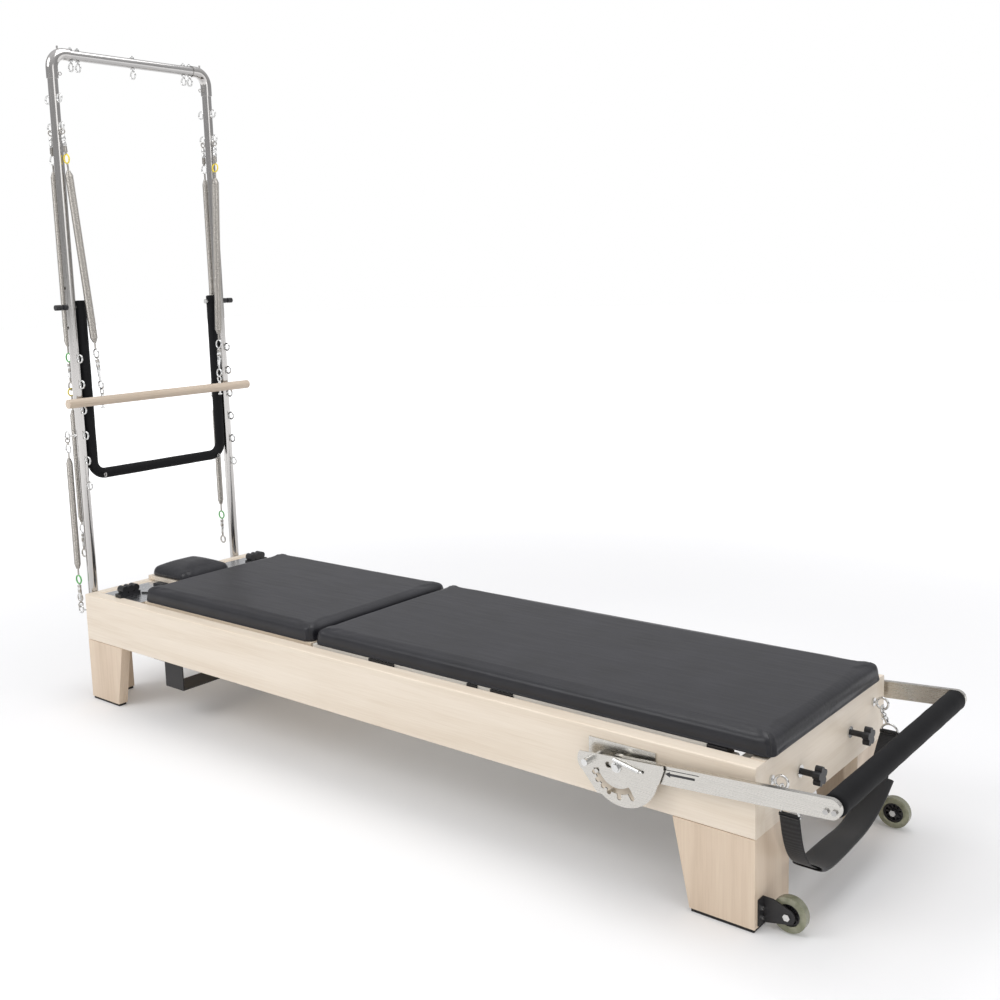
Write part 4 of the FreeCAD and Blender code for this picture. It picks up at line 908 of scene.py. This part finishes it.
def label(side):
    """An arrow and a line on the outer face of an arm, in millimetres from its pivot."""
    station, level = ARM_PIVOT
    origin = at(station, side * ARM_FACE, level)
    along = Vector((math.cos(ARM_RISE), 0, math.sin(ARM_RISE)))
    up = Vector((-math.sin(ARM_RISE), 0, math.cos(ARM_RISE)))

    def spot(u, v):
        return origin + along * (u / 1000) + up * (v / 1000)

    verts, faces = [], []
    for shape in LABEL_SHAPES:
        start = len(verts)
        verts += [spot(u, v) for u, v in shape]
        verts += [spot(u, v) - Vector((0, side * LABEL_THICK, 0)) for u, v in shape]
        n = len(shape)
        faces.append(tuple(range(start, start + n)))
        faces.append(tuple(range(start + 2 * n - 1, start + n - 1, -1)))
        faces += [(start + i, start + n + i, start + n + (i + 1) % n, start + (i + 1) % n) for i in range(n)]
    return verts, faces


for side, word in SIDES:
    verts, faces = label(side)
    new_object(f"arm_label_{word}", verts, faces, label_ink, "footbar", 0)

# ---- floor, light, camera ----

FLOOR_NEAR, FLOOR_FAR = 1.6, 6.5

floor_mat, tree, shader = nodes_of("studio_floor")
plain = coordinates(tree, (1, 1, 1))
cloud = noise_node(tree, plain, 0.6, 2.0)
stops = [(0.2, (0.80, 0.80, 0.805)), (0.8, (0.82, 0.82, 0.82))]
tree.links.new(ramp_node(tree, cloud, stops), shader.inputs["Base Color"])
shader.inputs["Roughness"].default_value = 0.7
shader.inputs["Specular IOR Level"].default_value = 0.2
# Painted light: the floor glows, its emission rising from 0.10 at FLOOR_NEAR to 0.75 at FLOOR_FAR from the
# middle of the scene, so the floor fades to white far off and stays greyer near the object.
shader.inputs["Emission Color"].default_value = (1.0, 1.0, 1.0, 1.0)
distance = tree.nodes.new("ShaderNodeVectorMath")
distance.operation = "LENGTH"
tree.links.new(plain, distance.inputs[0])
painted_glow = tree.nodes.new("ShaderNodeMapRange")
painted_glow.interpolation_type = "SMOOTHSTEP"
painted_glow.inputs["From Min"].default_value = FLOOR_NEAR
painted_glow.inputs["From Max"].default_value = FLOOR_FAR
painted_glow.inputs["To Min"].default_value = 0.10
painted_glow.inputs["To Max"].default_value = 0.75
tree.links.new(distance.outputs["Value"], painted_glow.inputs["Value"])
tree.links.new(painted_glow.outputs["Result"], shader.inputs["Emission Strength"])
bpy.ops.mesh.primitive_plane_add(size=80, location=(0, 0, 0))
floor = bpy.context.object
floor.name = "studio_floor_plane"
floor.data.materials.append(floor_mat)


def area(name, where, target, size, energy, tint=(1, 1, 1)):
    data = bpy.data.lights.new(name, "AREA")
    data.shape = "RECTANGLE"
    data.size, data.size_y = size
    data.energy = energy
    data.color = tint
    lamp = bpy.data.objects.new(name, data)
    lamp.location = where
    lamp.rotation_euler = (Vector(target) - Vector(where)).to_track_quat("-Z", "Y").to_euler()
    bpy.context.scene.collection.objects.link(lamp)
    return lamp


area("key", (-2.2, -4.2, 4.4), (0.2, 0, 0.4), (3.2, 2.6), 95)
area("fill", (4.8, -1.2, 2.4), (0.4, 0, 0.5), (2.6, 2.4), 26)
area("top", (0.3, 0.6, 4.6), (0.2, 0, 0.3), (3.6, 2.2), 60)


def studio_world():
    """White to the eye; to the object, a dim horizon under a bright ceiling."""
    world = bpy.data.worlds.new("studio")
    world.use_nodes = True
    tree = world.node_tree
    backdrop = tree.nodes["Background"]
    backdrop.inputs["Color"].default_value = (1.0, 1.0, 1.0, 1.0)
    room = tree.nodes.new("ShaderNodeBackground")
    where = tree.nodes.new("ShaderNodeTexCoord")
    split = tree.nodes.new("ShaderNodeSeparateXYZ")
    tree.links.new(where.outputs["Generated"], split.inputs["Vector"])
    heights = [
        (0.0, (0.42, 0.42, 0.42)),
        (0.1, (0.46, 0.46, 0.47)),
        (0.45, (0.62, 0.62, 0.63)),
        (1.0, (0.92, 0.92, 0.94)),
    ]
    tree.links.new(ramp_node(tree, split.outputs["Z"], heights), room.inputs["Color"])
    switch = tree.nodes.new("ShaderNodeMixShader")
    ray = tree.nodes.new("ShaderNodeLightPath")
    tree.links.new(ray.outputs["Is Camera Ray"], switch.inputs["Fac"])
    tree.links.new(room.outputs["Background"], switch.inputs[1])
    tree.links.new(backdrop.outputs["Background"], switch.inputs[2])
    tree.links.new(switch.outputs["Shader"], tree.nodes["World Output"].inputs["Surface"])
    return world


bpy.context.scene.world = studio_world()
bpy.context.scene.view_settings.view_transform = "Standard"

YAW, PITCH, ROLL = (math.radians(d) for d in (41.0533, 8.6313, -1.9629))
CAMERA_AT = (HEAD_END + 3.4158, -2.4596, 1.3552)
LENS, SHIFT = 42.53, (0.0624, -0.0405)
back_axis = Vector((math.sin(YAW) * math.cos(PITCH), -math.cos(YAW) * math.cos(PITCH), math.sin(PITCH)))
right_axis = Vector((math.cos(YAW), math.sin(YAW), 0))
up_axis = back_axis.cross(right_axis)
rolled_right = right_axis * math.cos(ROLL) + up_axis * math.sin(ROLL)
rolled_up = up_axis * math.cos(ROLL) - right_axis * math.sin(ROLL)
data = bpy.data.cameras.new("camera")
data.sensor_width = 36
data.lens = LENS
data.shift_x, data.shift_y = SHIFT
data.clip_end = 100
camera = bpy.data.objects.new("camera", data)
turn = Matrix((rolled_right, rolled_up, back_axis)).transposed().to_4x4()
camera.matrix_world = Matrix.Translation(CAMERA_AT) @ turn
bpy.context.scene.collection.objects.link(camera)
bpy.context.scene.camera = camera

bpy.context.view_layer.update()
